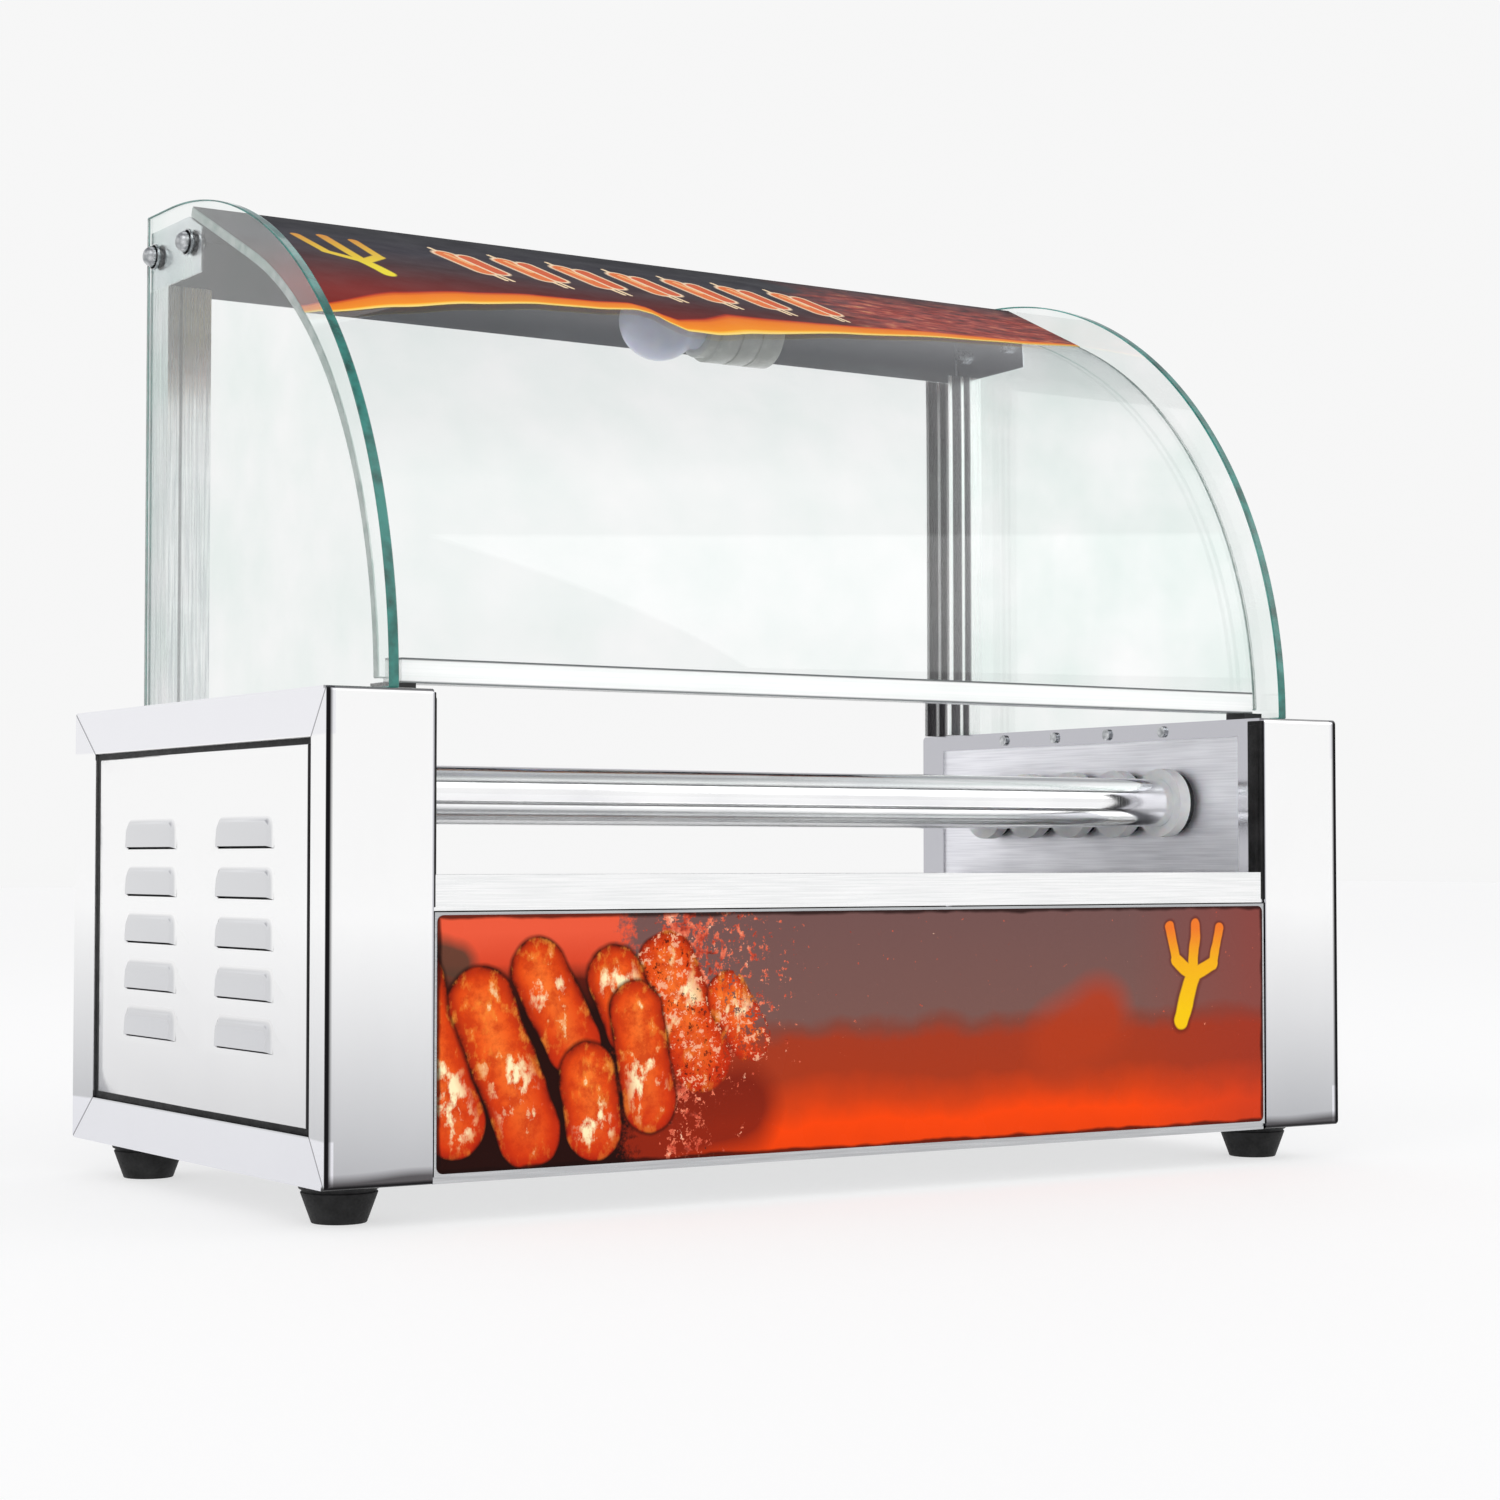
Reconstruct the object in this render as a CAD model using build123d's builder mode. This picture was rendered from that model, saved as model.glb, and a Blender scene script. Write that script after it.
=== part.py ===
"""Five-roller hot dog grill: folded steel casing, chain-driven rollers and a curved glass hood."""
import os
from math import asin, atan2, cos, degrees, dist, hypot, pi, radians, sin

from build123d import *

os.makedirs("parts", exist_ok=True)

# Driving dimensions, mm. X runs left to right, Y front to back, Z up from the feet.
width = 580
depth = 296
foot_height = 18
case_height = 212
sheet = 1.0                 # folded stainless sheet
bend_radius = 2.5

# End casings and their louvred covers
end_width = 50.5
frame_width = 21
frame_slope = 2.5           # how far the framed side falls towards the cover
rebate_depth = 2.5
rebate_lip = 7
cover_gap = 1.5
rim_land = 0.6
return_flange = 20
edge_flange = 9
louvre_length = 59
louvre_height = 12
louvre_rise = 3
louvre_corner = 8
louvre_columns = 2
louvre_rows = 5
column_pitch = 110.5
row_pitch = 22.5
plate_thickness = 1.5
edge_screw_radius = 2
edge_screw_head = 3
edge_screw_count = 4
edge_screw_pitch = 46

# Front and rear panels, floor
panel_height = 116
panel_setback = 0.5
panel_side_gap = 0.8
panel_base_gap = 3
panel_return = 12
film_thickness = 0.3
film_margin = 1.2
rear_setback = 22
floor_flange = 14

# Drip tray
tray_lip_height = 15.5
tray_lip_gap = 0.6
tray_depth = 13
tray_side_gap = 7
tray_rear_gap = 5
runner_width = 18
runner_height = 14
runner_clearance = 0.3
hem = 6

# Rollers
roller_count = 5
roller_pitch = 38.1
roller_radius = 12.7
roller_wall = 1.2
journal_radius = 12.7         # the tube's ends, which turn in the bushes
shoulder_gap = 0.5
roller_height = 169         # roller axis above the casing's underside
running_clearance = 0.05
bush_flange_radius = 18.25
bush_flange_length = 7
bush_sleeve_radius = 15
bush_sleeve_reach = 5
ring_length = 4
ring_radius = 16.6
heater_radius = 4
heater_overhang = 6
heater_strip_width = 20
heater_strip_reach = 27      # past the outermost roller, clear of the chain

# Chain drive: 6.35 mm pitch chain on 17-tooth roller sprockets and a 12-tooth motor sprocket
chain_pitch = 6.35
roller_teeth = 17
motor_teeth = 12
sprocket_thickness = 2.8
sprocket_offset = 10        # from the roller plate to the middle of the sprockets
tooth_tip = 1.4
tooth_seat = 1.75
boss_radius = 14
hub_radius = 16.5
hub_length = 3
hub_gap = 0.5
chain_plate = 0.8
chain_side_gap = 0.35
link_height = 5.6
link_layer_gap = 0.1
pin_radius = 1.1
chain_roller_radius = 1.6
motor_height = 64           # motor axis above the casing's underside
motor_shaft_radius = 4
motor_hub = 7
gearbox_size = 64
gearbox_length = 30
motor_radius = 27
motor_length = 52
bracket_thickness = 2
bracket_margin = 12

# Feet
foot_top_radius = 19
foot_bottom_radius = 12
foot_inset_x = 25
foot_inset_y = 38.5
foot_screw_radius = 3
foot_screw_head = 5.5
foot_recess_depth = 6
foot_washer = 3

# Glass hood
glass = 5
glass_inset = 31            # side glass's outer face from the end of the casing
hood_radius = 253
hood_rear_gap = 12
hood_flat = 27
front_glass_inset = 16
front_glass_end = 65        # degrees up the arc, where the front glass runs on straight
front_glass_straight = 81
glass_clearance = 0.5
canopy_start = 53
canopy_thickness = 0.3
rail_depth = 11
rail_height = 11
rail_wall = 1.5
rail_lift = 3
rail_side_gap = 7
rail_slot_clearance = 0.25
clip_length = 12
clip_width = 14
post_width = 23
post_depth = 25
post_wall = 1.5
beam_depth = 65
beam_height = 30
beam_setback = 2
beam_drop = 8.5             # top of the light housing below the crown of the hood
beam_chamfer_y = 16.5
beam_chamfer_z = 7.7
bolt_radius = 3
nut_radius = 5
nut_height = 6
nut_dome = 4
bolt_spacing = 43
bolt_rear_inset = 11
bolt_drop = 13.5

# Lamp
lamp_x = 15
lamp_setback = 17           # lamp axis behind the light housing's front edge
bulb_radius = 22
bulb_clearance = 0.7        # under the light housing's top sheet
bulb_neck_radius = 13
neck_depth = 12             # of the bulb's neck in its holder
socket_radius = 20
socket_length = 46
socket_start = 23.5
bracket_sheet = 1.5
lamp_bracket_width = 30

# Controls on the rear panel
control_height = 52
knob_radius = 18
knob_length = 15
knob_gap = 0.6
grip_width = 5
grip_rise = 2.5
knob_spacing = 110
spindle_radius = 3
spindle_hole = 5
thermostat_size = 40
thermostat_depth = 26
rocker_width = 11
rocker_height = 20
rocker_depth = 4.5
rocker_tilt = 8
rocker_clearance = 1.2
housing_wall = 1.6
housing_depth = 18
housing_flange = 2.2
housing_flange_depth = 1.6
rocker_x = 150
rocker_spacing = 30
lamp_lens_radius = 5
lamp_lens_length = 12
lamp_lens_rise = 36
inlet_x = -170
inlet_width = 28
inlet_height = 20
inlet_depth = 24
inlet_flange = 11
inlet_wall = 2
terminal_x = 130
terminal_length = 64
terminal_width = 22
terminal_height = 17
terminal_poles = 6

# Derived places
half_width = width / 2
half_depth = depth / 2
case_bottom = foot_height
case_top = foot_height + case_height
case_middle = (case_bottom + case_top) / 2
inner_x = half_width - end_width
plate_x = inner_x + sheet
plate_back = plate_x + plate_thickness
panel_top = case_bottom + panel_height
panel_bottom = case_bottom + panel_base_gap
panel_half = inner_x - panel_side_gap
panel_front = -half_depth + panel_setback
rear_face = half_depth - rear_setback
roller_z = case_bottom + roller_height
roller_y = [(i - (roller_count - 1) / 2) * roller_pitch for i in range(roller_count)]
glass_x = half_width - glass_inset
hood_y = half_depth - hood_rear_gap - hood_flat
front_glass_radius = hood_radius - front_glass_inset
front_glass_half = glass_x - glass - glass_clearance
sprocket_x = -(plate_back + sprocket_offset)
motor_z = case_bottom + motor_height


def pitch_radius(teeth):
    """Radius of the circle that the chain's pins follow on a sprocket."""
    return chain_pitch / 2 / sin(pi / teeth)


def save(piece, name):
    """Label a finished piece and write its STEP file."""
    piece.part.label = name
    export_step(piece.part, f"parts/{name}.step")


def block(low, high, mode=Mode.ADD):
    """A box from its lowest to its highest corner."""
    middle = tuple((a + b) / 2 for a, b in zip(low, high))
    sizes = [b - a for a, b in zip(low, high)]
    with Locations(middle):
        Box(*sizes, mode=mode)


def rod_x(x0, x1, y, z, radius, mode=Mode.ADD):
    """A cylinder along X."""
    with Locations(Location(((x0 + x1) / 2, y, z), (0, 90, 0))):
        Cylinder(radius, abs(x1 - x0), mode=mode)


def rod_y(y0, y1, x, z, radius, mode=Mode.ADD):
    """A cylinder along Y."""
    with Locations(Location((x, (y0 + y1) / 2, z), (90, 0, 0))):
        Cylinder(radius, abs(y1 - y0), mode=mode)


def rod_z(z0, z1, x, y, radius, mode=Mode.ADD):
    """A cylinder along Z."""
    with Locations((x, y, (z0 + z1) / 2)):
        Cylinder(radius, abs(z1 - z0), mode=mode)


def mirrored(piece):
    """The same piece for the other end of the grill."""
    with BuildPart() as copy:
        mirror(piece.part, about=Plane.YZ)
    return copy


def side_rectangle(inset):
    """A rectangle inside the outline of a casing's framed side."""
    with Locations((0, case_middle)):
        Rectangle(depth - 2 * inset, case_height - 2 * inset)


# ---------------------------------------------------------------- end casings
frame_floor = half_width - frame_slope
lip_face = frame_floor - rebate_depth
foot_places = [(half_width - foot_inset_x, s * (half_depth - foot_inset_y)) for s in (-1, 1)]
edge_screw_y = [(i - (edge_screw_count - 1) / 2) * edge_screw_pitch for i in range(edge_screw_count)]
edge_screw_z = case_top - edge_flange / 2

with BuildPart() as right_end_casing:
    with BuildSketch(Plane.YZ.offset(inner_x)):
        side_rectangle(0)
    extrude(amount=end_width)
    fillet(right_end_casing.edges().filter_by(Axis.X), radius=bend_radius)
    with BuildSketch(Plane.YZ.offset(inner_x + sheet)) as hollow:
        side_rectangle(sheet)
        fillet(hollow.vertices(), radius=bend_radius - sheet)
    extrude(amount=end_width - 2 * sheet, mode=Mode.SUBTRACT)
    # the framed side slopes in to a rebate that holds the cover
    with BuildSketch(Plane.YZ.offset(half_width - sheet)):
        side_rectangle(sheet)
    with BuildSketch(Plane.YZ.offset(frame_floor - sheet)):
        side_rectangle(frame_width - sheet)
    loft()
    with BuildSketch(Plane.YZ.offset(lip_face - sheet)):
        side_rectangle(frame_width - sheet)
    extrude(amount=rebate_depth)
    with BuildSketch(Plane.YZ.offset(half_width)):
        side_rectangle(rim_land)
    with BuildSketch(Plane.YZ.offset(frame_floor)):
        side_rectangle(frame_width)
    loft(mode=Mode.SUBTRACT)
    with BuildSketch(Plane.YZ.offset(lip_face)):
        side_rectangle(frame_width)
    extrude(amount=rebate_depth, mode=Mode.SUBTRACT)
    with BuildSketch(Plane.YZ.offset(inner_x + 2 * sheet)):
        side_rectangle(frame_width + rebate_lip)
    extrude(amount=end_width, mode=Mode.SUBTRACT)
    # the inner side is open between its flanges, where the roller plate closes it
    with BuildSketch(Plane.YZ.offset(inner_x)):
        with Locations((0, case_middle)):
            Rectangle(depth - 2 * return_flange, case_height - 2 * edge_flange)
    extrude(amount=sheet, mode=Mode.SUBTRACT)
    for x, y in foot_places:
        rod_z(case_bottom, case_bottom + sheet, x, y, foot_screw_radius, Mode.SUBTRACT)
    for y in edge_screw_y:
        rod_x(inner_x, inner_x + sheet, y, edge_screw_z, edge_screw_radius, Mode.SUBTRACT)
left_end_casing = mirrored(right_end_casing)
save(right_end_casing, "right_end_casing")
save(left_end_casing, "left_end_casing")

# ---------------------------------------------------------------- louvred side covers
with BuildSketch() as louvre_outline:
    Rectangle(louvre_length, louvre_height)
    fillet(louvre_outline.vertices().group_by(Axis.Y)[-1], radius=louvre_corner)
with BuildSketch() as louvre_mouth:
    with Locations((0, -1.5 * sheet)):
        Rectangle(louvre_length - 3 * sheet, louvre_height)
    fillet(louvre_mouth.vertices().group_by(Axis.Y)[-1], radius=louvre_corner - sheet)


def louvres(shape, plane, height, mode):
    """A grid of one outline, drawn in at its rim as it rises."""
    with BuildSketch(plane) as outlines:
        with Locations((0, case_middle)):
            with GridLocations(column_pitch, row_pitch, louvre_columns, louvre_rows):
                add(shape.sketch)
    extrude(outlines.sketch, amount=height, taper=30, mode=mode)


with BuildPart() as right_side_cover:
    with BuildSketch(Plane.YZ.offset(lip_face)):
        side_rectangle(frame_width + cover_gap)
    extrude(amount=sheet)
    louvres(louvre_outline, Plane.YZ.offset(lip_face + sheet), louvre_rise, Mode.ADD)
    louvres(louvre_mouth, Plane.YZ.offset(lip_face), louvre_rise, Mode.SUBTRACT)
left_side_cover = mirrored(right_side_cover)
save(right_side_cover, "right_side_cover")
save(left_side_cover, "left_side_cover")

# ---------------------------------------------------------------- roller plates
with BuildPart() as right_roller_plate:
    with BuildSketch(Plane.YZ.offset(plate_x)):
        with Locations((0, case_middle)):
            Rectangle(depth - 2 * sheet - 1, case_height - 2 * sheet - 1)
    extrude(amount=plate_thickness)
    for y in roller_y:
        rod_x(plate_x, plate_back, y, roller_z, bush_sleeve_radius, Mode.SUBTRACT)
    for y in edge_screw_y:
        rod_x(plate_x, plate_back, y, edge_screw_z, edge_screw_radius, Mode.SUBTRACT)
with BuildPart() as left_roller_plate:
    mirror(right_roller_plate.part, about=Plane.YZ)
    rod_x(-plate_back, -plate_x, 0, motor_z, 2 * motor_shaft_radius, Mode.SUBTRACT)
save(right_roller_plate, "right_roller_plate")
save(left_roller_plate, "left_roller_plate")

with BuildPart() as edge_screws:
    for side in (-1, 1):
        for y in edge_screw_y:
            rod_x(side * inner_x, side * (plate_back + 3), y, edge_screw_z, edge_screw_radius)
            rod_x(side * (inner_x - 1.5), side * inner_x, y, edge_screw_z, edge_screw_head)
save(edge_screws, "edge_screws")

# ---------------------------------------------------------------- floor, front and rear panels
flange_front = panel_front + sheet
flange_rear = rear_face - sheet
with BuildPart() as base_pan:
    block((-panel_half, flange_front, case_bottom), (panel_half, flange_rear, case_bottom + sheet))
    for y in (flange_front, flange_rear - sheet):
        block((-panel_half, y, case_bottom), (panel_half, y + sheet, panel_bottom + floor_flange))
save(base_pan, "base_pan")

with BuildPart() as front_panel:
    block((-panel_half, panel_front, panel_bottom), (panel_half, panel_front + sheet, panel_top))
    block(
        (-panel_half, panel_front, panel_top - sheet),
        (panel_half, panel_front + panel_return, panel_top),
    )
save(front_panel, "front_panel")

with BuildPart() as front_graphic:
    block(
        (-panel_half + film_margin, panel_front - film_thickness, panel_bottom + film_margin),
        (panel_half - film_margin, panel_front, panel_top - film_margin),
    )
save(front_graphic, "front_graphic")

control_z = case_bottom + control_height
knob_x = [-knob_spacing / 2, knob_spacing / 2]
rocker_places = [rocker_x, rocker_x + rocker_spacing]
pocket_w = rocker_width + 2 * 0.4
pocket_h = rocker_height + 2 * rocker_clearance
housing_w = pocket_w + 2 * housing_wall
housing_h = pocket_h + 2 * housing_wall
with BuildPart() as rear_panel:
    block((-panel_half, rear_face - sheet, panel_bottom), (panel_half, rear_face, panel_top))
    block(
        (-panel_half, rear_face - panel_return, panel_top - sheet),
        (panel_half, rear_face, panel_top),
    )
    for x in knob_x:
        rod_y(rear_face - sheet, rear_face, x, control_z, spindle_hole, Mode.SUBTRACT)
        rod_y(
            rear_face - sheet, rear_face, x, control_z + lamp_lens_rise, lamp_lens_radius, Mode.SUBTRACT
        )
    for x in rocker_places:
        block(
            (x - housing_w / 2, rear_face - sheet, control_z - housing_h / 2),
            (x + housing_w / 2, rear_face, control_z + housing_h / 2),
            Mode.SUBTRACT,
        )
    block(
        (inlet_x - inlet_width / 2, rear_face - sheet, control_z - inlet_height / 2),
        (inlet_x + inlet_width / 2, rear_face, control_z + inlet_height / 2),
        Mode.SUBTRACT,
    )
save(rear_panel, "rear_panel")

# ---------------------------------------------------------------- drip tray and its runners
tray_floor = panel_top + tray_lip_gap + runner_clearance + sheet
tray_half = inner_x - tray_side_gap
tray_rear = rear_face - sheet - tray_rear_gap
lip_bottom = panel_top + tray_lip_gap
lip_top = lip_bottom + tray_lip_height
with BuildPart() as drip_tray:
    block(
        (-tray_half, panel_front + sheet, tray_floor),
        (tray_half, tray_rear, tray_floor + tray_depth),
    )
    block(
        (-tray_half + sheet, panel_front + 2 * sheet, tray_floor + sheet),
        (tray_half - sheet, tray_rear - sheet, tray_floor + tray_depth),
        Mode.SUBTRACT,
    )
    block(
        (-panel_half, panel_front + sheet, lip_bottom),
        (panel_half, panel_front + 2 * sheet, lip_top),
    )
    block(
        (-panel_half, panel_front + sheet, lip_top - sheet),
        (panel_half, panel_front + sheet + hem, lip_top),
    )
save(drip_tray, "drip_tray")

runner_top = tray_floor - runner_clearance
runner_front = -half_depth + return_flange + 1
with BuildPart() as tray_runners:
    for side in (-1, 1):
        x_in = side * (plate_x - runner_width)
        x_out = side * plate_x
        block(
            (min(x_in, x_out), runner_front, runner_top - sheet),
            (max(x_in, x_out), tray_rear, runner_top),
        )
        x_web = side * (plate_x - sheet)
        block(
            (min(x_web, x_out), runner_front, runner_top - runner_height),
            (max(x_web, x_out), tray_rear, runner_top),
        )
save(tray_runners, "tray_runners")

# ---------------------------------------------------------------- rollers and their bushes
inner_plate = sprocket_thickness / 2 + chain_side_gap
outer_plate = inner_plate + chain_plate + link_layer_gap
chain_edge = outer_plate + chain_plate
hub_end = sprocket_x - chain_edge - hub_gap
tube_left = hub_end - hub_length - 1
tube_right = plate_back + bush_sleeve_reach + 3
bush_bore = journal_radius + running_clearance
bush_face = plate_x - ring_length
shoulder_x = bush_face - bush_flange_length - shoulder_gap
tube_bore = min(roller_radius, journal_radius) - roller_wall


def sprocket_outline(teeth):
    """Toothed disc: round seats at the pitch circle, with short pointed teeth between them."""
    Circle(pitch_radius(teeth) + tooth_tip)
    with PolarLocations(pitch_radius(teeth), teeth):
        Circle(tooth_seat, mode=Mode.SUBTRACT)
        with Locations((tooth_seat, 0)):
            Rectangle(2 * tooth_seat, 2 * tooth_seat, mode=Mode.SUBTRACT)


for number, y in enumerate(roller_y, 1):
    with BuildPart() as roller:
        rod_x(tube_left, tube_right, y, roller_z, journal_radius)
        rod_x(-shoulder_x, shoulder_x, y, roller_z, journal_radius, Mode.SUBTRACT)
        rod_x(-shoulder_x, shoulder_x, y, roller_z, roller_radius)
        rod_x(tube_left, tube_right, y, roller_z, tube_bore, Mode.SUBTRACT)
    save(roller, f"roller_{number}")
    with BuildPart() as sprocket:
        with BuildSketch(Plane.YZ.offset(sprocket_x - sprocket_thickness / 2)):
            with Locations((y, roller_z)):
                sprocket_outline(roller_teeth)
        extrude(amount=sprocket_thickness)
        rod_x(tube_left + 1, sprocket_x, y, roller_z, boss_radius)
        rod_x(tube_left + 1, hub_end, y, roller_z, hub_radius)
        rod_x(tube_left, sprocket_x + sprocket_thickness, y, roller_z, journal_radius, Mode.SUBTRACT)
    save(sprocket, f"sprocket_{number}")

with BuildPart() as roller_bushes:
    for side in (-1, 1):
        for y in roller_y:
            rod_x(
                side * (bush_face - bush_flange_length), side * bush_face, y, roller_z, bush_flange_radius
            )
            rod_x(
                side * bush_face, side * (plate_back + bush_sleeve_reach), y, roller_z, bush_sleeve_radius
            )
            rod_x(
                side * (bush_face - bush_flange_length),
                side * (plate_back + bush_sleeve_reach),
                y,
                roller_z,
                bush_bore,
                Mode.SUBTRACT,
            )
save(roller_bushes, "roller_bushes")

with BuildPart() as bush_rings:
    for side in (-1, 1):
        for y in roller_y:
            rod_x(side * bush_face, side * plate_x, y, roller_z, ring_radius)
            rod_x(side * bush_face, side * plate_x, y, roller_z, bush_sleeve_radius, Mode.SUBTRACT)
save(bush_rings, "bush_rings")

# ---------------------------------------------------------------- heating rods
strip_left = tube_left - heater_overhang
strip_right = tube_right + heater_overhang
with BuildPart() as heater_rods:
    for y in roller_y:
        rod_x(strip_left - 6, strip_right + 6, y, roller_z, heater_radius)
save(heater_rods, "heater_rods")

with BuildPart() as heater_brackets:
    reach = roller_y[-1] + heater_strip_reach
    foot_z = roller_z - heater_strip_width / 2
    for x, plate in ((strip_left, -plate_back), (strip_right, plate_back)):
        block((x - 1, -reach, foot_z), (x + 1, reach, foot_z + heater_strip_width))
        for y in (-reach, reach - 2):
            block((min(x, plate), y, foot_z), (max(x, plate), y + 2, foot_z + heater_strip_width))
        for y in roller_y:
            rod_x(x - 1, x + 1, y, roller_z, heater_radius, Mode.SUBTRACT)
save(heater_brackets, "heater_brackets")

# ---------------------------------------------------------------- chain drive
wheels = [
    (0, motor_z, pitch_radius(motor_teeth)),
    (roller_y[-1], roller_z, pitch_radius(roller_teeth)),
    (roller_y[0], roller_z, pitch_radius(roller_teeth)),
]


def heading(a, b):
    """Direction of the straight run from one wheel to the next, both on its left."""
    run = hypot(b[0] - a[0], b[1] - a[1])
    return atan2(b[1] - a[1], b[0] - a[0]) + asin((a[2] - b[2]) / run)


def leaving_point(wheel, angle):
    """Where the chain touches a wheel when it runs in this direction."""
    return wheel[0] + wheel[2] * sin(angle), wheel[1] - wheel[2] * cos(angle)


def chain_stretches():
    """Straight runs and wraps in order: (length, function of the distance along it)."""
    stretches = []
    for i, wheel in enumerate(wheels):
        before, after = wheels[i - 1], wheels[(i + 1) % len(wheels)]
        arrive, leave = heading(before, wheel), heading(wheel, after)
        wrap = (leave - arrive) % (2 * pi)
        start, end = leaving_point(wheel, leave), leaving_point(after, leave)
        run = dist(start, end)
        stretches.append((wrap * wheel[2], lambda s, w=wheel, a=arrive: leaving_point(w, a + s / w[2])))
        stretches.append(
            (run, lambda s, p=start, a=leave: (p[0] + s * cos(a), p[1] + s * sin(a)))
        )
    return stretches


def chain_pins():
    """Pin centres, evenly spaced round the loop."""
    stretches = chain_stretches()
    total = sum(length for length, _ in stretches)
    count = 2 * round(total / chain_pitch / 2)
    pins = []
    for i in range(count):
        s = total * i / count
        for length, place in stretches:
            if s <= length:
                pins.append(place(s))
                break
            s -= length
    return pins


pins = chain_pins()
all_wheels = [(y, roller_z, pitch_radius(roller_teeth)) for y in roller_y] + wheels[:1]


def over_teeth(pin):
    """True where a sprocket's teeth pass between the chain's plates."""
    return any(dist(pin, w[:2]) < w[2] + tooth_tip + chain_roller_radius + 0.4 for w in all_wheels)


with BuildPart() as drive_chain:
    for first, offset in ((0, outer_plate), (1, inner_plate)):
        for start in (sprocket_x + offset, sprocket_x - offset - chain_plate):
            with BuildSketch(Plane.YZ.offset(start)):
                for i in range(first, len(pins), 2):
                    a, b = pins[i], pins[(i + 1) % len(pins)]
                    turn = degrees(atan2(b[1] - a[1], b[0] - a[0]))
                    with Locations(((a[0] + b[0]) / 2, (a[1] + b[1]) / 2)):
                        SlotCenterToCenter(dist(a, b), link_height, rotation=turn)
            extrude(amount=chain_plate)
    # pins and rollers cross the middle only where no teeth pass
    free_pins = [pin for pin in pins if not over_teeth(pin)]
    held_pins = [pin for pin in pins if over_teeth(pin)]
    half_pin = chain_edge - inner_plate
    for places, radius, start, length in (
        (held_pins, pin_radius, inner_plate, half_pin),
        (held_pins, pin_radius, -chain_edge, half_pin),
        (free_pins, pin_radius, -chain_edge, 2 * chain_edge),
        (free_pins, chain_roller_radius, -inner_plate, 2 * inner_plate),
    ):
        with BuildSketch(Plane.YZ.offset(sprocket_x + start)):
            with Locations(places):
                Circle(radius)
        extrude(amount=length)
save(drive_chain, "drive_chain")

bracket_x = -plate_x + bracket_thickness
gearbox_end = bracket_x + gearbox_length
with BuildPart() as motor_sprocket:
    with BuildSketch(Plane.YZ.offset(sprocket_x - sprocket_thickness / 2)):
        with Locations((0, motor_z)):
            sprocket_outline(motor_teeth)
    extrude(amount=sprocket_thickness)
    rod_x(sprocket_x - motor_hub, sprocket_x, 0, motor_z, 2 * motor_shaft_radius)
    rod_x(
        sprocket_x - motor_hub,
        sprocket_x + sprocket_thickness,
        0,
        motor_z,
        motor_shaft_radius,
        Mode.SUBTRACT,
    )
save(motor_sprocket, "motor_sprocket")

shaft_depth = 15
with BuildPart() as motor_shaft:
    rod_x(
        sprocket_x - motor_hub, bracket_x + shaft_depth, 0, motor_z,
        motor_shaft_radius,
    )
save(motor_shaft, "motor_shaft")

with BuildPart() as gearbox:
    with BuildSketch(Plane.YZ.offset(bracket_x)) as gearbox_face:
        with Locations((0, motor_z)):
            RectangleRounded(gearbox_size, gearbox_size, 6)
    extrude(amount=gearbox_length)
    rod_x(
        bracket_x, bracket_x + shaft_depth + 1, 0, motor_z, motor_shaft_radius + running_clearance,
        Mode.SUBTRACT,
    )
save(gearbox, "gearbox")

with BuildPart() as gear_motor:
    rod_x(gearbox_end, gearbox_end + motor_length, 0, motor_z, motor_radius)
    fillet(gear_motor.edges().group_by(Axis.X)[-1], radius=4)
save(gear_motor, "gear_motor")

bracket_half = gearbox_size / 2 + bracket_margin
with BuildPart() as motor_bracket:
    with BuildSketch(Plane.YZ.offset(-plate_x)):
        with Locations((0, motor_z)):
            Rectangle(2 * bracket_half, gearbox_size)
            Circle(2 * motor_shaft_radius, mode=Mode.SUBTRACT)
            with GridLocations(2 * bracket_half - bracket_margin, gearbox_size - 20, 2, 2):
                Circle(2.1, mode=Mode.SUBTRACT)
    extrude(amount=bracket_thickness)
    for y in (-bracket_half, bracket_half - bracket_thickness):
        block(
            (-plate_x, y, motor_z - gearbox_size / 2),
            (gearbox_end, y + bracket_thickness, motor_z - gearbox_size / 2 + 20),
        )
save(motor_bracket, "motor_bracket")

# ---------------------------------------------------------------- feet
corners = [
    ("front_left", -1, 0), ("front_right", 1, 0), ("rear_left", -1, 1), ("rear_right", 1, 1),
]
for name, side, row in corners:
    x, y = foot_places[row]
    with BuildPart() as foot:
        with Locations((side * x, y, foot_height / 2)):
            Cone(foot_bottom_radius, foot_top_radius, foot_height)
        fillet(foot.edges().group_by(Axis.Z)[0], radius=1.2)
        rod_z(0, foot_recess_depth, side * x, y, foot_screw_head + 1, Mode.SUBTRACT)
        rod_z(0, foot_height, side * x, y, foot_screw_radius, Mode.SUBTRACT)
    save(foot, f"foot_{name}")

with BuildPart() as foot_screws:
    for side in (-1, 1):
        for x, y in foot_places:
            rod_z(foot_recess_depth - 3, foot_recess_depth, side * x, y, foot_screw_head)
            rod_z(foot_recess_depth, case_bottom + sheet + 6, side * x, y, foot_screw_radius)
            rod_z(case_bottom + sheet, case_bottom + sheet + foot_washer, side * x, y, foot_screw_head)
save(foot_screws, "foot_screws")

# ---------------------------------------------------------------- glass hood
bolt_y = [half_depth - hood_rear_gap - bolt_rear_inset - bolt_spacing * k for k in (1, 0)]
beam_rear = half_depth - hood_rear_gap - beam_setback
beam_front = beam_rear - beam_depth
beam_half = glass_x - glass
beam_top = case_top + hood_radius - beam_drop
beam_bottom = beam_top - beam_height
bolt_z = beam_top - bolt_drop

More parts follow.
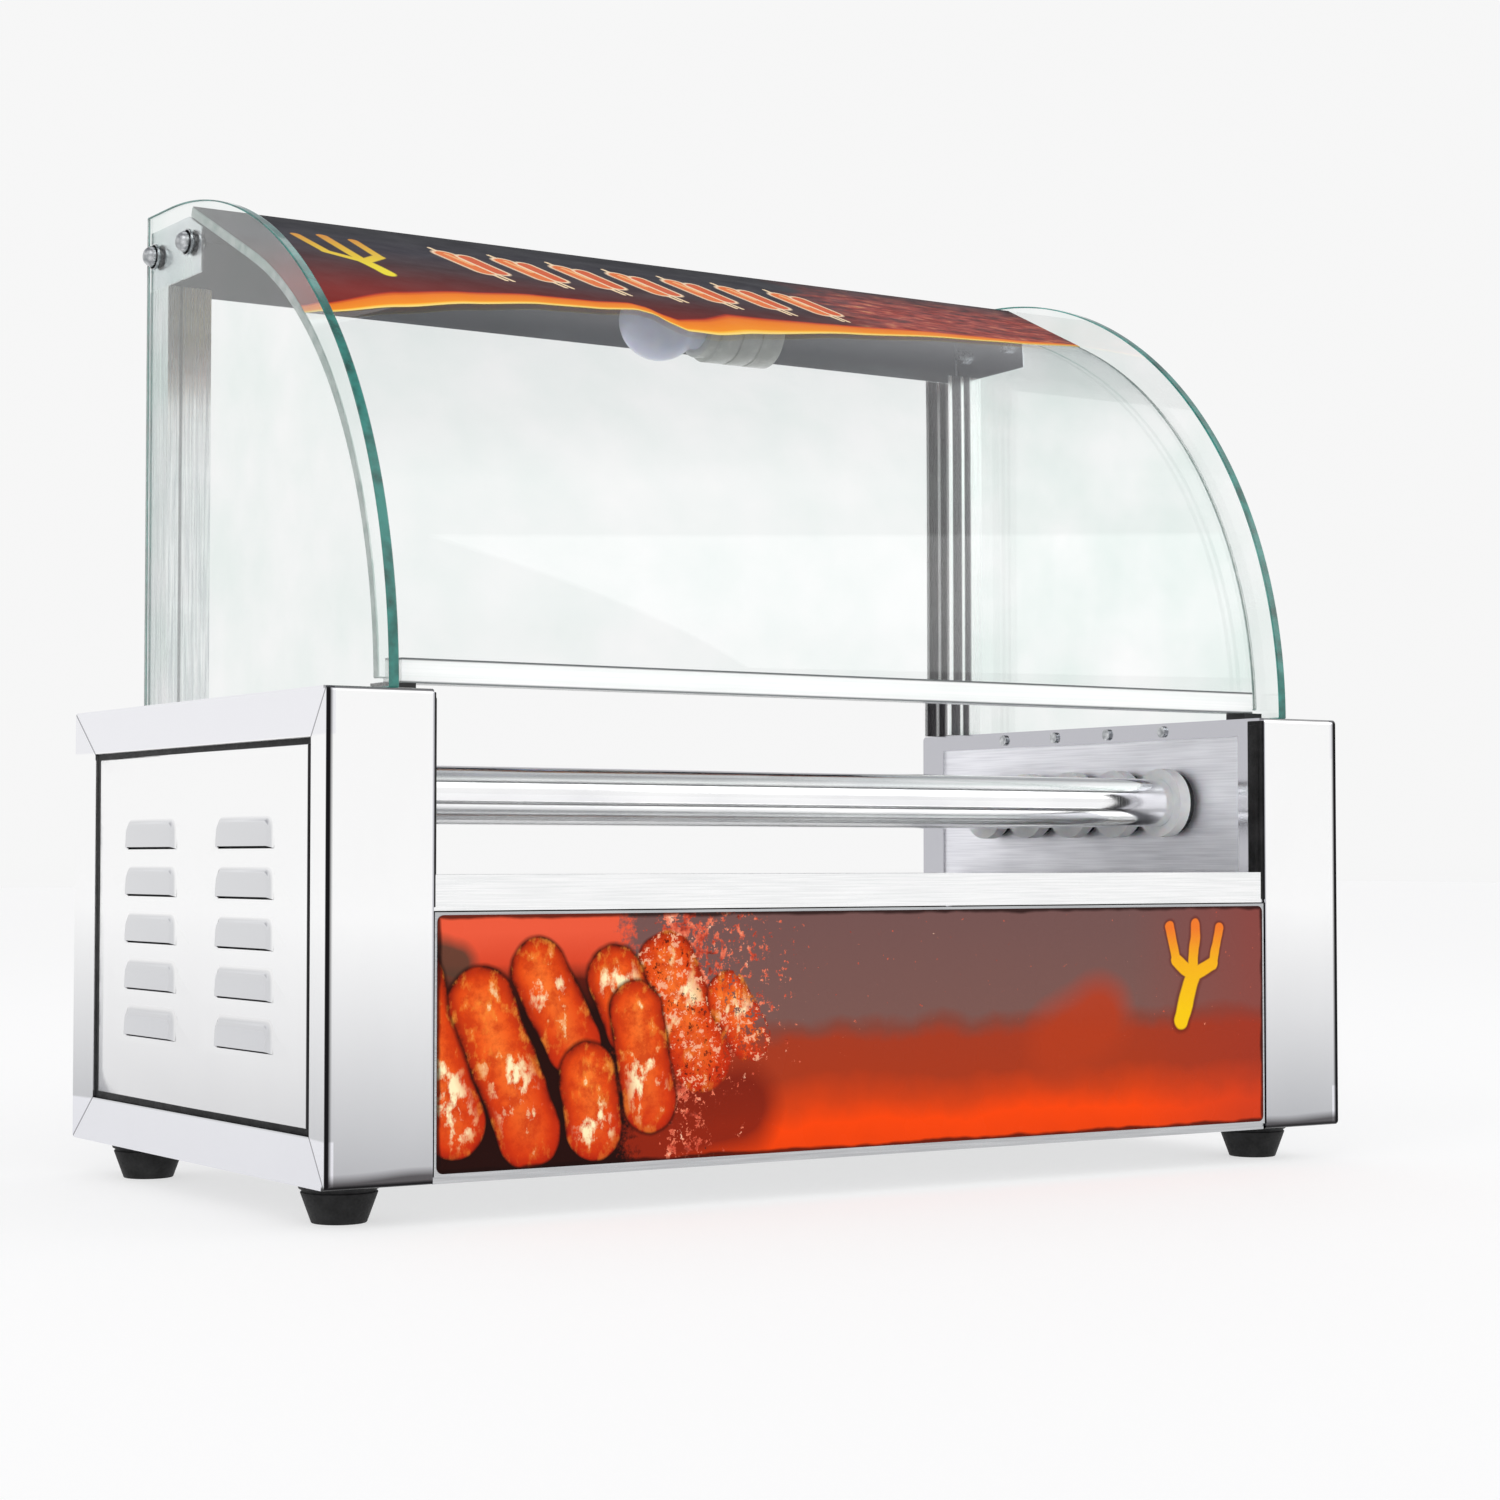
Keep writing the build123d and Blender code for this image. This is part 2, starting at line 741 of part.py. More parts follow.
with BuildPart() as right_side_glass:
    with BuildSketch(Plane.YZ.offset(glass_x - glass)):
        with BuildLine():
            front = (hood_y - hood_radius, case_top)
            crown = (hood_y, case_top + hood_radius)
            RadiusArc(front, crown, hood_radius)
            rear_top = (half_depth - hood_rear_gap, case_top + hood_radius)
            rear_foot = (half_depth - hood_rear_gap, case_top)
            Polyline(crown, rear_top, rear_foot, front)
        make_face()
    extrude(amount=glass)
    for y in bolt_y:
        rod_x(glass_x - glass, glass_x, y, bolt_z, bolt_radius, Mode.SUBTRACT)
left_side_glass = mirrored(right_side_glass)
save(right_side_glass, "right_side_glass")
save(left_side_glass, "left_side_glass")


def on_arc(radius, angle):
    """A point on an arc about the hood's axis, by its angle up from the front."""
    return hood_y - radius * cos(radians(angle)), case_top + radius * sin(radians(angle))


def curved_sheet(outer, thickness, start, straight):
    """Outline of a sheet bent round the hood's axis that ends in a straight stretch."""
    inner = outer - thickness
    end = front_glass_end
    along = (straight * sin(radians(end)), straight * cos(radians(end)))
    outer_end = on_arc(outer, end)
    inner_end = on_arc(inner, end)
    outer_tip = (outer_end[0] + along[0], outer_end[1] + along[1])
    inner_tip = (inner_end[0] + along[0], inner_end[1] + along[1])
    middle = (start + end) / 2
    with BuildSketch(Plane.YZ.offset(-front_glass_half)) as outline:
        with BuildLine():
            ThreePointArc(on_arc(outer, start), on_arc(outer, middle), outer_end)
            Polyline(outer_end, outer_tip, inner_tip, inner_end)
            ThreePointArc(inner_end, on_arc(inner, middle), on_arc(inner, start))
            Line(on_arc(inner, start), on_arc(outer, start))
        make_face()
    return outline.sketch


rail_bottom = case_top + rail_lift
glass_foot_z = rail_bottom + rail_wall
glass_start = degrees(asin((glass_foot_z + 0.5 - case_top) / (front_glass_radius - glass)))
front_glass_outline = curved_sheet(front_glass_radius, glass, glass_start, front_glass_straight)
with BuildPart() as front_glass:
    extrude(front_glass_outline, amount=2 * front_glass_half)
save(front_glass, "front_glass")

canopy_outline = curved_sheet(
    front_glass_radius + canopy_thickness, canopy_thickness, canopy_start, front_glass_straight
)
with BuildPart() as canopy_film:
    extrude(canopy_outline, amount=2 * front_glass_half)
save(canopy_film, "canopy_film")

slot_front = hood_y - front_glass_radius - rail_slot_clearance
slot_rear = hood_y - front_glass_radius + glass + 2 * rail_slot_clearance
rail_front = slot_front - (rail_depth - glass) / 2
rail_rear = slot_rear + (rail_depth - glass) / 2
rail_half = glass_x - glass - rail_side_gap
with BuildPart() as glass_rail:
    block((-rail_half, rail_front, rail_bottom), (rail_half, rail_rear, rail_bottom + rail_height))
    block(
        (-rail_half, slot_front, rail_bottom + rail_wall),
        (rail_half, slot_rear, rail_bottom + rail_height),
        Mode.SUBTRACT,
    )
save(glass_rail, "glass_rail")

with BuildPart() as rail_clips:
    for side in (-1, 1):
        x_in = side * (inner_x + 1)
        x_out = side * (inner_x + 1 + clip_length)
        block(
            (min(x_in, x_out), rail_front - 1, case_top),
            (max(x_in, x_out), rail_front - 1 + clip_width, rail_bottom),
        )
save(rail_clips, "rail_clips")

with BuildPart() as right_rear_post:
    post_x = glass_x - glass
    post_rear = half_depth - hood_rear_gap
    block(
        (post_x - post_width, post_rear - post_depth, case_top),
        (post_x, post_rear, beam_bottom),
    )
    block(
        (post_x - post_width, post_rear - post_depth + post_wall, case_top),
        (post_x - post_wall, post_rear - post_wall, beam_bottom),
        Mode.SUBTRACT,
    )
left_rear_post = mirrored(right_rear_post)
save(right_rear_post, "right_rear_post")
save(left_rear_post, "left_rear_post")


with BuildPart() as light_housing:
    # end plates, their top front corners cut back under the front glass
    with BuildSketch(Plane.YZ.offset(-beam_half)):
        with BuildLine():
            Polyline(
                (beam_front, beam_bottom),
                (beam_rear, beam_bottom),
                (beam_rear, beam_top),
                (beam_front + beam_chamfer_y, beam_top),
                (beam_front, beam_top - beam_chamfer_z),
                close=True,
            )
        make_face()
    extrude(amount=2 * beam_half)
    # open below and in front, so the top and rear sheets reflect the lamp
    block(
        (-beam_half + sheet, beam_front, beam_bottom),
        (beam_half - sheet, beam_rear - sheet, beam_top - sheet),
        Mode.SUBTRACT,
    )
    block(
        (-beam_half + sheet, beam_front, beam_bottom),
        (beam_half - sheet, beam_front + beam_chamfer_y, beam_top),
        Mode.SUBTRACT,
    )
    for side in (-1, 1):
        for y in bolt_y:
            rod_x(
                side * (beam_half - sheet), side * beam_half, y, bolt_z, bolt_radius, Mode.SUBTRACT
            )
save(light_housing, "light_housing")

with BuildPart() as hood_bolts:
    for side in (-1, 1):
        for y in bolt_y:
            rod_x(side * (beam_half - 6), side * glass_x, y, bolt_z, bolt_radius)
            rod_x(side * (beam_half - 4), side * (beam_half - sheet), y, bolt_z, nut_radius)
            rod_x(side * glass_x, side * (glass_x + 1), y, bolt_z, nut_radius + 1.5)
            rod_x(side * glass_x, side * (glass_x + nut_height), y, bolt_z, nut_radius)
    for outermost in (0, -1):
        fillet(hood_bolts.edges().group_by(Axis.X)[outermost], radius=nut_dome)
save(hood_bolts, "hood_bolts")

# ---------------------------------------------------------------- lamp
lamp_y = beam_front + lamp_setback
lamp_z = beam_top - sheet - bulb_clearance - bulb_radius
socket_x = lamp_x + socket_start
socket_end = socket_x + socket_length
neck_start = (bulb_radius**2 - bulb_neck_radius**2) ** 0.5
neck_end = socket_start + neck_depth
with BuildPart() as lamp_bulb:
    with BuildSketch(Plane((lamp_x, lamp_y, lamp_z))):
        with BuildLine():
            ThreePointArc((-bulb_radius, 0), (0, bulb_radius), (neck_start, bulb_neck_radius))
            Polyline(
                (neck_start, bulb_neck_radius), (neck_end, bulb_neck_radius), (neck_end, 0),
                (-bulb_radius, 0),
            )
        make_face()
    revolve(axis=Axis((lamp_x, lamp_y, lamp_z), (1, 0, 0)))
save(lamp_bulb, "lamp_bulb")

with BuildPart() as lamp_socket:
    rod_x(socket_x, socket_end, lamp_y, lamp_z, socket_radius)
    fillet(lamp_socket.edges(), radius=2)
    rod_x(socket_x, socket_x + neck_depth, lamp_y, lamp_z, bulb_neck_radius, Mode.SUBTRACT)
save(lamp_socket, "lamp_socket")

with BuildPart() as lamp_bracket:
    bracket_front = beam_front + beam_chamfer_y
    block(
        (socket_end, bracket_front, lamp_z - 10),
        (socket_end + bracket_sheet, bracket_front + lamp_bracket_width, beam_top - sheet),
    )
    block(
        (socket_end, bracket_front, beam_top - sheet - bracket_sheet),
        (socket_end + 18, bracket_front + lamp_bracket_width, beam_top - sheet),
    )
save(lamp_bracket, "lamp_bracket")

# ---------------------------------------------------------------- controls on the rear panel
inside_face = rear_face - sheet
with BuildPart() as thermostats:
    for x in knob_x:
        block(
            (x - thermostat_size / 2, inside_face - thermostat_depth, control_z - thermostat_size / 2),
            (x + thermostat_size / 2, inside_face, control_z + thermostat_size / 2),
        )
        rod_y(
            inside_face - thermostat_depth / 2,
            inside_face,
            x,
            control_z,
            spindle_radius + running_clearance,
            Mode.SUBTRACT,
        )
save(thermostats, "thermostats")

for name, x in zip(("left", "right"), knob_x):
    with BuildPart() as knob:
        rod_y(rear_face + knob_gap, rear_face + knob_gap + knob_length, x, control_z, knob_radius)
        chamfer(knob.edges().group_by(Axis.Y)[-1], length=1.5)
        with Locations((x, rear_face + knob_gap + knob_length, control_z)):
            Box(grip_width, 2 * grip_rise, 2 * (knob_radius - grip_width))
        rod_y(
            inside_face - thermostat_depth / 2 + 1, rear_face + knob_gap + 1, x, control_z, spindle_radius
        )
    save(knob, f"{name}_thermostat_knob")

housing_front = rear_face + housing_flange_depth
with BuildPart() as switch_housings:
    for x in rocker_places:
        block(
            (x - housing_w / 2, rear_face - housing_depth, control_z - housing_h / 2),
            (x + housing_w / 2, housing_front, control_z + housing_h / 2),
        )
        block(
            (x - housing_w / 2 - housing_flange, rear_face, control_z - housing_h / 2 - housing_flange),
            (x + housing_w / 2 + housing_flange, housing_front, control_z + housing_h / 2 + housing_flange),
        )
        block(
            (x - pocket_w / 2, rear_face - housing_depth + 4, control_z - pocket_h / 2),
            (x + pocket_w / 2, housing_front, control_z + pocket_h / 2),
            Mode.SUBTRACT,
        )
save(switch_housings, "switch_housings")

for name, x in zip(("motor", "lamp"), rocker_places):
    with BuildPart() as rocker:
        with BuildSketch(Plane.YZ.offset(x - rocker_width / 2)):
            with BuildLine():
                Polyline(
                    (housing_front - rocker_depth, control_z - rocker_height / 2),
                    (housing_front + 1.5, control_z - rocker_height / 2),
                    (housing_front, control_z),
                    (housing_front + 1.5, control_z + rocker_height / 2),
                    (housing_front - rocker_depth, control_z + rocker_height / 2),
                    close=True,
                )
            make_face()
        extrude(amount=rocker_width)
    pivot = Axis((x, housing_front - rocker_depth / 2, control_z), (1, 0, 0))
    with BuildPart() as tilted:
        add(rocker.part.rotate(pivot, -rocker_tilt))
    save(tilted, f"{name}_rocker")

with BuildPart() as indicator_lamps:
    for x in knob_x:
        z = control_z + lamp_lens_rise
        rod_y(rear_face - lamp_lens_length, rear_face, x, z, lamp_lens_radius)
        rod_y(rear_face, rear_face + 2.5, x, z, lamp_lens_radius + 1.5)
    fillet(indicator_lamps.edges().group_by(Axis.Y)[-1], radius=1.5)
save(indicator_lamps, "indicator_lamps")

with BuildPart() as power_inlet:
    block(
        (inlet_x - inlet_width / 2, rear_face - inlet_depth, control_z - inlet_height / 2),
        (inlet_x + inlet_width / 2, rear_face, control_z + inlet_height / 2),
    )
    block(
        (inlet_x - inlet_width / 2 - inlet_flange, rear_face, control_z - inlet_height / 2 - 2),
        (inlet_x + inlet_width / 2 + inlet_flange, rear_face + 3, control_z + inlet_height / 2 + 2),
    )
    block(
        (
            inlet_x - inlet_width / 2 + inlet_wall,
            rear_face - inlet_depth + 6,
            control_z - inlet_height / 2 + inlet_wall,
        ),
        (
            inlet_x + inlet_width / 2 - inlet_wall,
            rear_face + 3,
            control_z + inlet_height / 2 - inlet_wall,
        ),
        Mode.SUBTRACT,
    )
    for dx in (-7, 0, 7):
        block(
            (inlet_x + dx - 1, rear_face - inlet_depth + 6, control_z - 2.5),
            (inlet_x + dx + 1, rear_face - 3, control_z + 2.5),
        )
save(power_inlet, "power_inlet")

with BuildPart() as terminal_block:
    floor = case_bottom + sheet
    block(
        (terminal_x - terminal_length / 2, -terminal_width / 2, floor),
        (terminal_x + terminal_length / 2, terminal_width / 2, floor + terminal_height),
    )
    with Locations((terminal_x, 0, floor + terminal_height)):
        with GridLocations(terminal_length / terminal_poles, 12, terminal_poles, 2):
            CounterBoreHole(1.6, 3, 5, depth=12)
save(terminal_block, "terminal_block")
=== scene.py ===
"""Looks for a countertop hot dog roller grill: mirror steel, bent glass, printed film and chrome tubes."""
import math
from functools import partial

import bmesh
import bpy
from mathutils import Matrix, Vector


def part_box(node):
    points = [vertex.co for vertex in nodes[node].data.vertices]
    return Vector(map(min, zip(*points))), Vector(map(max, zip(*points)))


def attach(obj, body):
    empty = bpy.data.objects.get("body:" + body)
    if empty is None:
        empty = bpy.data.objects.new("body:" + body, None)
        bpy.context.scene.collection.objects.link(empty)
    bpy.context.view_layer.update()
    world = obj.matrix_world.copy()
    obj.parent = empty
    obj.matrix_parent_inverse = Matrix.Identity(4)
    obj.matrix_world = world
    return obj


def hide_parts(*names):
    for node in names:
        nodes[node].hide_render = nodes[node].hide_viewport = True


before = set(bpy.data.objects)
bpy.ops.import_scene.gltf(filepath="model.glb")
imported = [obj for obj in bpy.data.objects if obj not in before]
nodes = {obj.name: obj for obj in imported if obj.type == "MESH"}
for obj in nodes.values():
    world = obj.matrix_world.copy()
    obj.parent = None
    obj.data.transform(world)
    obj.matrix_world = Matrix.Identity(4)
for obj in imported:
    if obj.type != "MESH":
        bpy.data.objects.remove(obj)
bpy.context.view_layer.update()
MM = 0.001


# ---------------------------------------------------------------- places, from the frame
def low(name):
    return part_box(name)[0]


def high(name):
    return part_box(name)[1]


FRONT = low("right_end_casing").y
CASE_TOP = high("right_end_casing").z
CASE_BOTTOM = low("right_end_casing").z
END_X = high("right_end_casing").x
INNER_X = low("right_end_casing").x
HALF_DEPTH = high("right_end_casing").y
GLASS_OUT = high("right_side_glass").x
GLASS_IN = low("right_side_glass").x
HOOD_REAR = high("right_side_glass").y
HOOD_TOP = high("right_side_glass").z
HOOD_RADIUS = HOOD_TOP - CASE_TOP
HOOD_Y = low("right_side_glass").y + HOOD_RADIUS
FRONT_GLASS_RADIUS = HOOD_Y - low("front_glass").y
FRONT_GLASS_HALF = high("front_glass").x
GLASS_THICKNESS = GLASS_OUT - GLASS_IN
FRONT_GLASS_END = math.radians(65)
STRAIGHT = 81 * MM


# ---------------------------------------------------------------- modelling helpers
def deselect():
    if bpy.context.object and bpy.context.object.mode != "OBJECT":
        bpy.ops.object.mode_set(mode="OBJECT")
    bpy.ops.object.select_all(action="DESELECT")


def edit(piece):
    """Enter edit mode on one piece with nothing else selected."""
    deselect()
    piece.select_set(True)
    bpy.context.view_layer.objects.active = piece
    bpy.ops.object.mode_set(mode="EDIT")


def done():
    bpy.ops.object.mode_set(mode="OBJECT")


def select(kind, test):
    """In edit mode, select the vertices, edges or faces that pass a test."""
    bpy.ops.mesh.select_all(action="DESELECT")
    bpy.ops.mesh.select_mode(type=kind)
    piece = bpy.context.edit_object
    mesh = bmesh.from_edit_mesh(piece.data)
    elements = {"VERT": mesh.verts, "EDGE": mesh.edges, "FACE": mesh.faces}[kind]
    for element in elements:
        if test(element):
            element.select_set(True)
    mesh.select_flush_mode()
    bmesh.update_edit_mesh(piece.data)


def middle(edge):
    return (edge.verts[0].co + edge.verts[1].co) / 2


def settle(piece, name):
    """Name the active piece and move its place into its mesh."""
    deselect()
    piece.select_set(True)
    bpy.context.view_layer.objects.active = piece
    bpy.ops.object.transform_apply(location=True, rotation=True, scale=True)
    piece.name = name
    piece.data.name = name
    return piece


def cube(name, corner_low, corner_high):
    """A box between two corners, to be shaped further."""
    deselect()
    centre = (Vector(corner_low) + Vector(corner_high)) / 2
    bpy.ops.mesh.primitive_cube_add(size=1, location=centre)
    piece = bpy.context.object
    piece.scale = Vector(corner_high) - Vector(corner_low)
    return settle(piece, name)


def cylinder(name, start, end, radius, segments=64, end_radius=None):
    """A cylinder or cone between two points."""
    deselect()
    start, end = Vector(start), Vector(end)
    bpy.ops.mesh.primitive_cone_add(
        vertices=segments,
        radius1=radius,
        radius2=radius if end_radius is None else end_radius,
        depth=(end - start).length,
        location=(start + end) / 2,
        rotation=(end - start).to_track_quat("Z", "Y").to_euler(),
    )
    return settle(bpy.context.object, name)


def modify(piece, kind, **settings):
    """Add one modifier and apply it."""
    deselect()
    piece.select_set(True)
    bpy.context.view_layer.objects.active = piece
    modifier = piece.modifiers.new(kind.lower(), kind)
    for key, value in settings.items():
        setattr(modifier, key, value)
    bpy.ops.object.modifier_apply(modifier=modifier.name)
    return piece


def round_edges(piece, width, segments=3, angle=30):
    return modify(
        piece, "BEVEL", width=width, segments=segments, limit_method="ANGLE", angle_limit=math.radians(angle)
    )


def smooth(piece, angle=35):
    deselect()
    piece.select_set(True)
    bpy.context.view_layer.objects.active = piece
    bpy.ops.object.shade_smooth_by_angle(angle=math.radians(angle))
    return piece


def join(pieces, name):
    """Join finished pieces into one."""
    deselect()
    for piece in pieces:
        piece.select_set(True)
    bpy.context.view_layer.objects.active = pieces[0]
    bpy.ops.object.join()
    pieces[0].name = name
    pieces[0].data.name = name
    return pieces[0]


def turn_over(piece):
    """Turn every face the other way."""
    edit(piece)
    bpy.ops.mesh.select_all(action="SELECT")
    bpy.ops.mesh.flip_normals()
    done()
    return piece


def mirrored(piece, name):
    """A copy for the other end, turned the right way out again."""
    twin = piece.copy()
    twin.data = piece.data.copy()
    bpy.context.scene.collection.objects.link(twin)
    twin.scale = (-1, 1, 1)
    return turn_over(settle(twin, name))


def outwards(piece):
    """Merge doubles and turn every face outwards."""
    edit(piece)
    bpy.ops.mesh.select_all(action="SELECT")
    bpy.ops.mesh.remove_doubles(threshold=0.00001)
    bpy.ops.mesh.normals_make_consistent(inside=False)
    done()
    return piece


# ---------------------------------------------------------------- material helpers
def linear(code):
    """An sRGB hex colour as linear RGBA."""
    values = [int(code[i:i + 2], 16) / 255 for i in (1, 3, 5)]
    return tuple(v / 12.92 if v <= 0.04045 else ((v + 0.055) / 1.055) ** 2.4 for v in values) + (1.0,)


def node(tree, kind, *feeds, out=None, stops=(), **settings):
    """Add a shader node and return one of its outputs, or with out=all every live one.

    Feeds go to the live inputs in order and settings to properties or inputs by name. Each is a value,
    an sRGB hex colour or a socket to link from. Stops are the places and colours of a colour ramp.
    """
    made = tree.nodes.new("ShaderNode" + kind)
    named = {key: value for key, value in settings.items() if not hasattr(made, key)}
    for key, value in settings.items():
        if key not in named:
            setattr(made, key, value)
    pairs = list(zip([socket for socket in made.inputs if socket.enabled], feeds))
    pairs += [(made.inputs[key], value) for key, value in named.items()]
    for socket, value in pairs:
        if isinstance(value, bpy.types.NodeSocket):
            tree.links.new(value, socket)
        else:
            socket.default_value = linear(value) if isinstance(value, str) else value
    if stops:
        elements = made.color_ramp.elements
        while len(elements) < len(stops):
            elements.new(0.5)
        for element, (place, code) in zip(elements, stops):
            element.position = place
            element.color = linear(code)
    live = [socket for socket in made.outputs if socket.enabled]
    if out is all:
        return live
    return made.outputs[out] if out else live[0]


def new_material(name, **settings):
    """A Principled material, its node helper and its shader; settings are its constant sockets."""
    material = bpy.data.materials.new(name)
    material.use_nodes = True
    tree = material.node_tree
    shader = tree.nodes["Principled BSDF"]
    for key, value in settings.items():
        shader.inputs[key.replace("_", " ")].default_value = value
    return material, partial(node, tree), shader


def coats(add, colour, *layers):
    """Lay colours over one another; each layer is a colour and how a value is ranged to its amount."""
    for code, *span in layers:
        colour = add("Mix", add("MapRange", *span), colour, code, data_type="RGBA")
    return colour


def object_place(add):
    return add("TexCoord", out="Object")


def link(source, shader, socket):
    shader.id_data.links.new(source, shader.inputs[socket])


def dress(piece, *materials):
    """Give a piece its materials, in slot order."""
    piece.data.materials.clear()
    for material in materials:
        piece.data.materials.append(material)
    return piece


# ---------------------------------------------------------------- materials
def mirror_steel(name, bottom, marks):
    """Polished stainless sheet: a soft mirror, with faint roller waves and a haze of wipe marks.

    It is painted darker towards its foot, a painted shade. Marks gives the painted shade and light that the folds of
    one sheet gather from the room, and its joints.
    """
    material, add, shader = new_material(name, Metallic=1.0)
    place = object_place(add)
    height = add("SeparateXYZ", place, out="Z")
    smear = add("TexNoise", add("Mapping", place, Scale=(1, 1, 0.35)), 1000 / 60, 3)
    # painted shade: darker towards the foot, in the given foot colour
    rise = add("MapRange", height, CASE_BOTTOM, CASE_BOTTOM + FOOT_SHADE_HEIGHT)
    blend = add("Math", rise, add("Math", smear, 0.06, operation="MULTIPLY"), operation="ADD")
    colour = add("ValToRGB", blend, stops=[(0.0, bottom), (0.55, "#ffffff"), (1.0, "#ffffff")])
    for amount, code in marks(add, place):
        colour = add("Mix", amount, colour, code, data_type="RGBA")
    link(colour, shader, "Base Color")
    haze = add("TexNoise", add("Mapping", place, Scale=(1, 1, 0.2)), 1000 / 14, 4)
    link(add("MapRange", haze, 0.3, 0.7, 0.09, 0.17), shader, "Roughness")
    link(add("Bump", 0.6, 0.6 * MM, Height=add("TexNoise", place, 1000 / 90, 1)), shader, "Normal")
    return material


def cover_marks(add, place):
    """The pressed hoods are painted darker than the sheet, as painted shade, and its front fold is a painted shade
    line.
    """
    across, depth, _ = add("SeparateXYZ", place, out=all)
    out = add("Math", across, operation="ABSOLUTE")
    front = low("right_side_cover").y
    # painted shade: the raised hoods darker, and a dark line in the front fold
    return [
        (add("MapRange", out, COVER_FACE + 0.3 * MM, COVER_FACE + 1.2 * MM, 0.0, 0.7), "#c9cace"),
        (add("MapRange", depth, front + 4.6 * MM, front + 5.2 * MM, 1.0, 0.0), PAINTED_FOLD_SHADE),
    ]


def casing_marks(add, place):
    """Painted shade in the folds at the corners and on the inner face, and fine mitre joints round each side."""
    across, depth, height = add("SeparateXYZ", place, out=all)
    out = add("Math", across, operation="ABSOLUTE")
    above = add("Math", height, CASE_BOTTOM, operation="SUBTRACT")
    below = add("Math", CASE_TOP, height, operation="SUBTRACT")

    # painted shade in the folds: the upright front corner, the sill and the lid
    corner = add("MapRange", out, END_X - 3.2 * MM, END_X - 1.6 * MM)
    front = add("MapRange", depth, FRONT + 0.9 * MM, FRONT + 0.4 * MM)
    upright = add("Math", corner, front, operation="MULTIPLY")
    sill = add("MapRange", above, 2.4 * MM, 1.2 * MM)
    lid = add("MapRange", below, 1.6 * MM, 1.0 * MM, 0.0, 0.6)
    fore = add("MapRange", depth, FRONT + 4 * MM, FRONT + 3 * MM)
    flat = add("Math", add("Math", sill, lid, operation="MAXIMUM"), fore, operation="MULTIPLY")
    line = add("Math", upright, flat, operation="MAXIMUM")

    # the four flanges of a side meet in mitres; the upper and lower ones catch the light differently
    side = add("MapRange", out, END_X - 4.2 * MM, END_X - 4.0 * MM)
    inset = add("Math", HALF_DEPTH, add("Math", depth, operation="ABSOLUTE"), operation="SUBTRACT")
    skew = add("Math", inset, add("Math", above, below, operation="MINIMUM"), operation="SUBTRACT")
    mitre = add("MapRange", add("Math", skew, operation="ABSOLUTE"), 0.3 * MM, 0.9 * MM, 0.75, 0.0)
    upper = add("MapRange", below, FLANGE, FLANGE - 1 * MM, 0.0, 0.5)
    lower = add("MapRange", above, FLANGE, FLANGE - 1 * MM, 0.0, 0.7)
    mitre, upper, lower = (add("Math", amount, side, operation="MULTIPLY") for amount in (mitre, upper, lower))
    # painted shade on the inner face
    inner = add("MapRange", out, INNER_X + 0.9 * MM, INNER_X + 0.4 * MM)

    # the counter's shadow, mirrored in the foot of each pillar
    dip = add("Math", add("TexNoise", place, 1000 / 60, 1), 5 * MM, operation="MULTIPLY")
    foot = add("MapRange", add("Math", above, dip, operation="SUBTRACT"), 1 * MM, 5 * MM, 0.85, 0.0)
    face = add("MapRange", depth, FRONT + 0.4 * MM, FRONT + 0.8 * MM, 1.0, 0.0)
    foot = add("Math", foot, face, operation="MULTIPLY")
    return [(upper, "#e6e6ee"), (lower, "#f6f6fc"), (inner, "#c3c3c9"), (foot, "#3a3537"), (mitre, "#505057"),
            (line, PAINTED_FOLD_SHADE)]


def satin_steel(name, colour, lines_colour, grain=(0.02, 1, 1), rough=(0.22, 0.36)):
    """Satin stainless: fine grinding lines along the sheet, drawn 0.8 mm apart so that they show."""
    material, add, shader = new_material(name, Metallic=1.0)
    place = object_place(add)
    lines = add("TexNoise", add("Mapping", place, Scale=grain), 1000 / 0.8, 3)
    cloud = add("TexNoise", place, 1000 / 35, 2)
    tone = add("Mix", add("MapRange", lines, 0.35, 0.65, 0.0, 0.35), colour, lines_colour, data_type="RGBA")
    link(tone, shader, "Base Color")
    both = add("Math", lines, cloud, operation="MULTIPLY")
    link(add("MapRange", both, 0.1, 0.4, *rough), shader, "Roughness")
    link(add("Bump", 0.3, 0.01 * MM, Height=lines), shader, "Normal")
    return material


def folded_post():
    """Brushed aluminium post, with the room's reflections in its folds painted as dark and bright stripes down its
    length, and a painted shade line along one fold.
    """
    material, add, shader = new_material("brushed_aluminium_channel", Metallic=1.0)
    place = object_place(add)
    across = add("SeparateXYZ", place, out="X")
    lines = add("TexNoise", add("Mapping", place, Scale=(1, 1, 0.02)), 1000 / 0.8, 3)
    colour = add("ValToRGB", lines, stops=[(0.35, "#ffffff"), (0.7, "#cfd2d6")])
    post_low, post_high = low("right_rear_post").x, high("right_rear_post").x
    # painted reflections of the room: dark and bright stripes across the post
    painted_reflection_stripes = add("ValToRGB", add("MapRange", across, post_low, post_high),
                  stops=[(0.0, "#ffffff"), (0.06, "#ffffff"), (0.09, "#3c383c"), (0.34, "#4a464a"),
                         (0.38, "#ffffff"), (0.43, "#ffffff"), (0.47, "#2e2a2e"), (0.62, "#544f54"),
                         (0.68, "#ffffff"), (1.0, "#ffffff")])
    colour = coats(add, colour, (painted_reflection_stripes, across, 0, 10 * MM, 0.0, 0.92))
    # painted shade line along the left fold
    left_fold = (post_high - post_low) * 0.3 - post_high
    fold = add("Math", add("Math", across, left_fold, operation="SUBTRACT"), operation="ABSOLUTE")
    colour = coats(add, colour, ("#54575c", fold, 0.5 * MM, 1.1 * MM, 0.8, 0.0))
    link(colour, shader, "Base Color")
    link(add("MapRange", lines, 0.3, 0.7, 0.2, 0.32), shader, "Roughness")
    link(add("Bump", 0.3, 0.01 * MM, Height=lines), shader, "Normal")
    return material


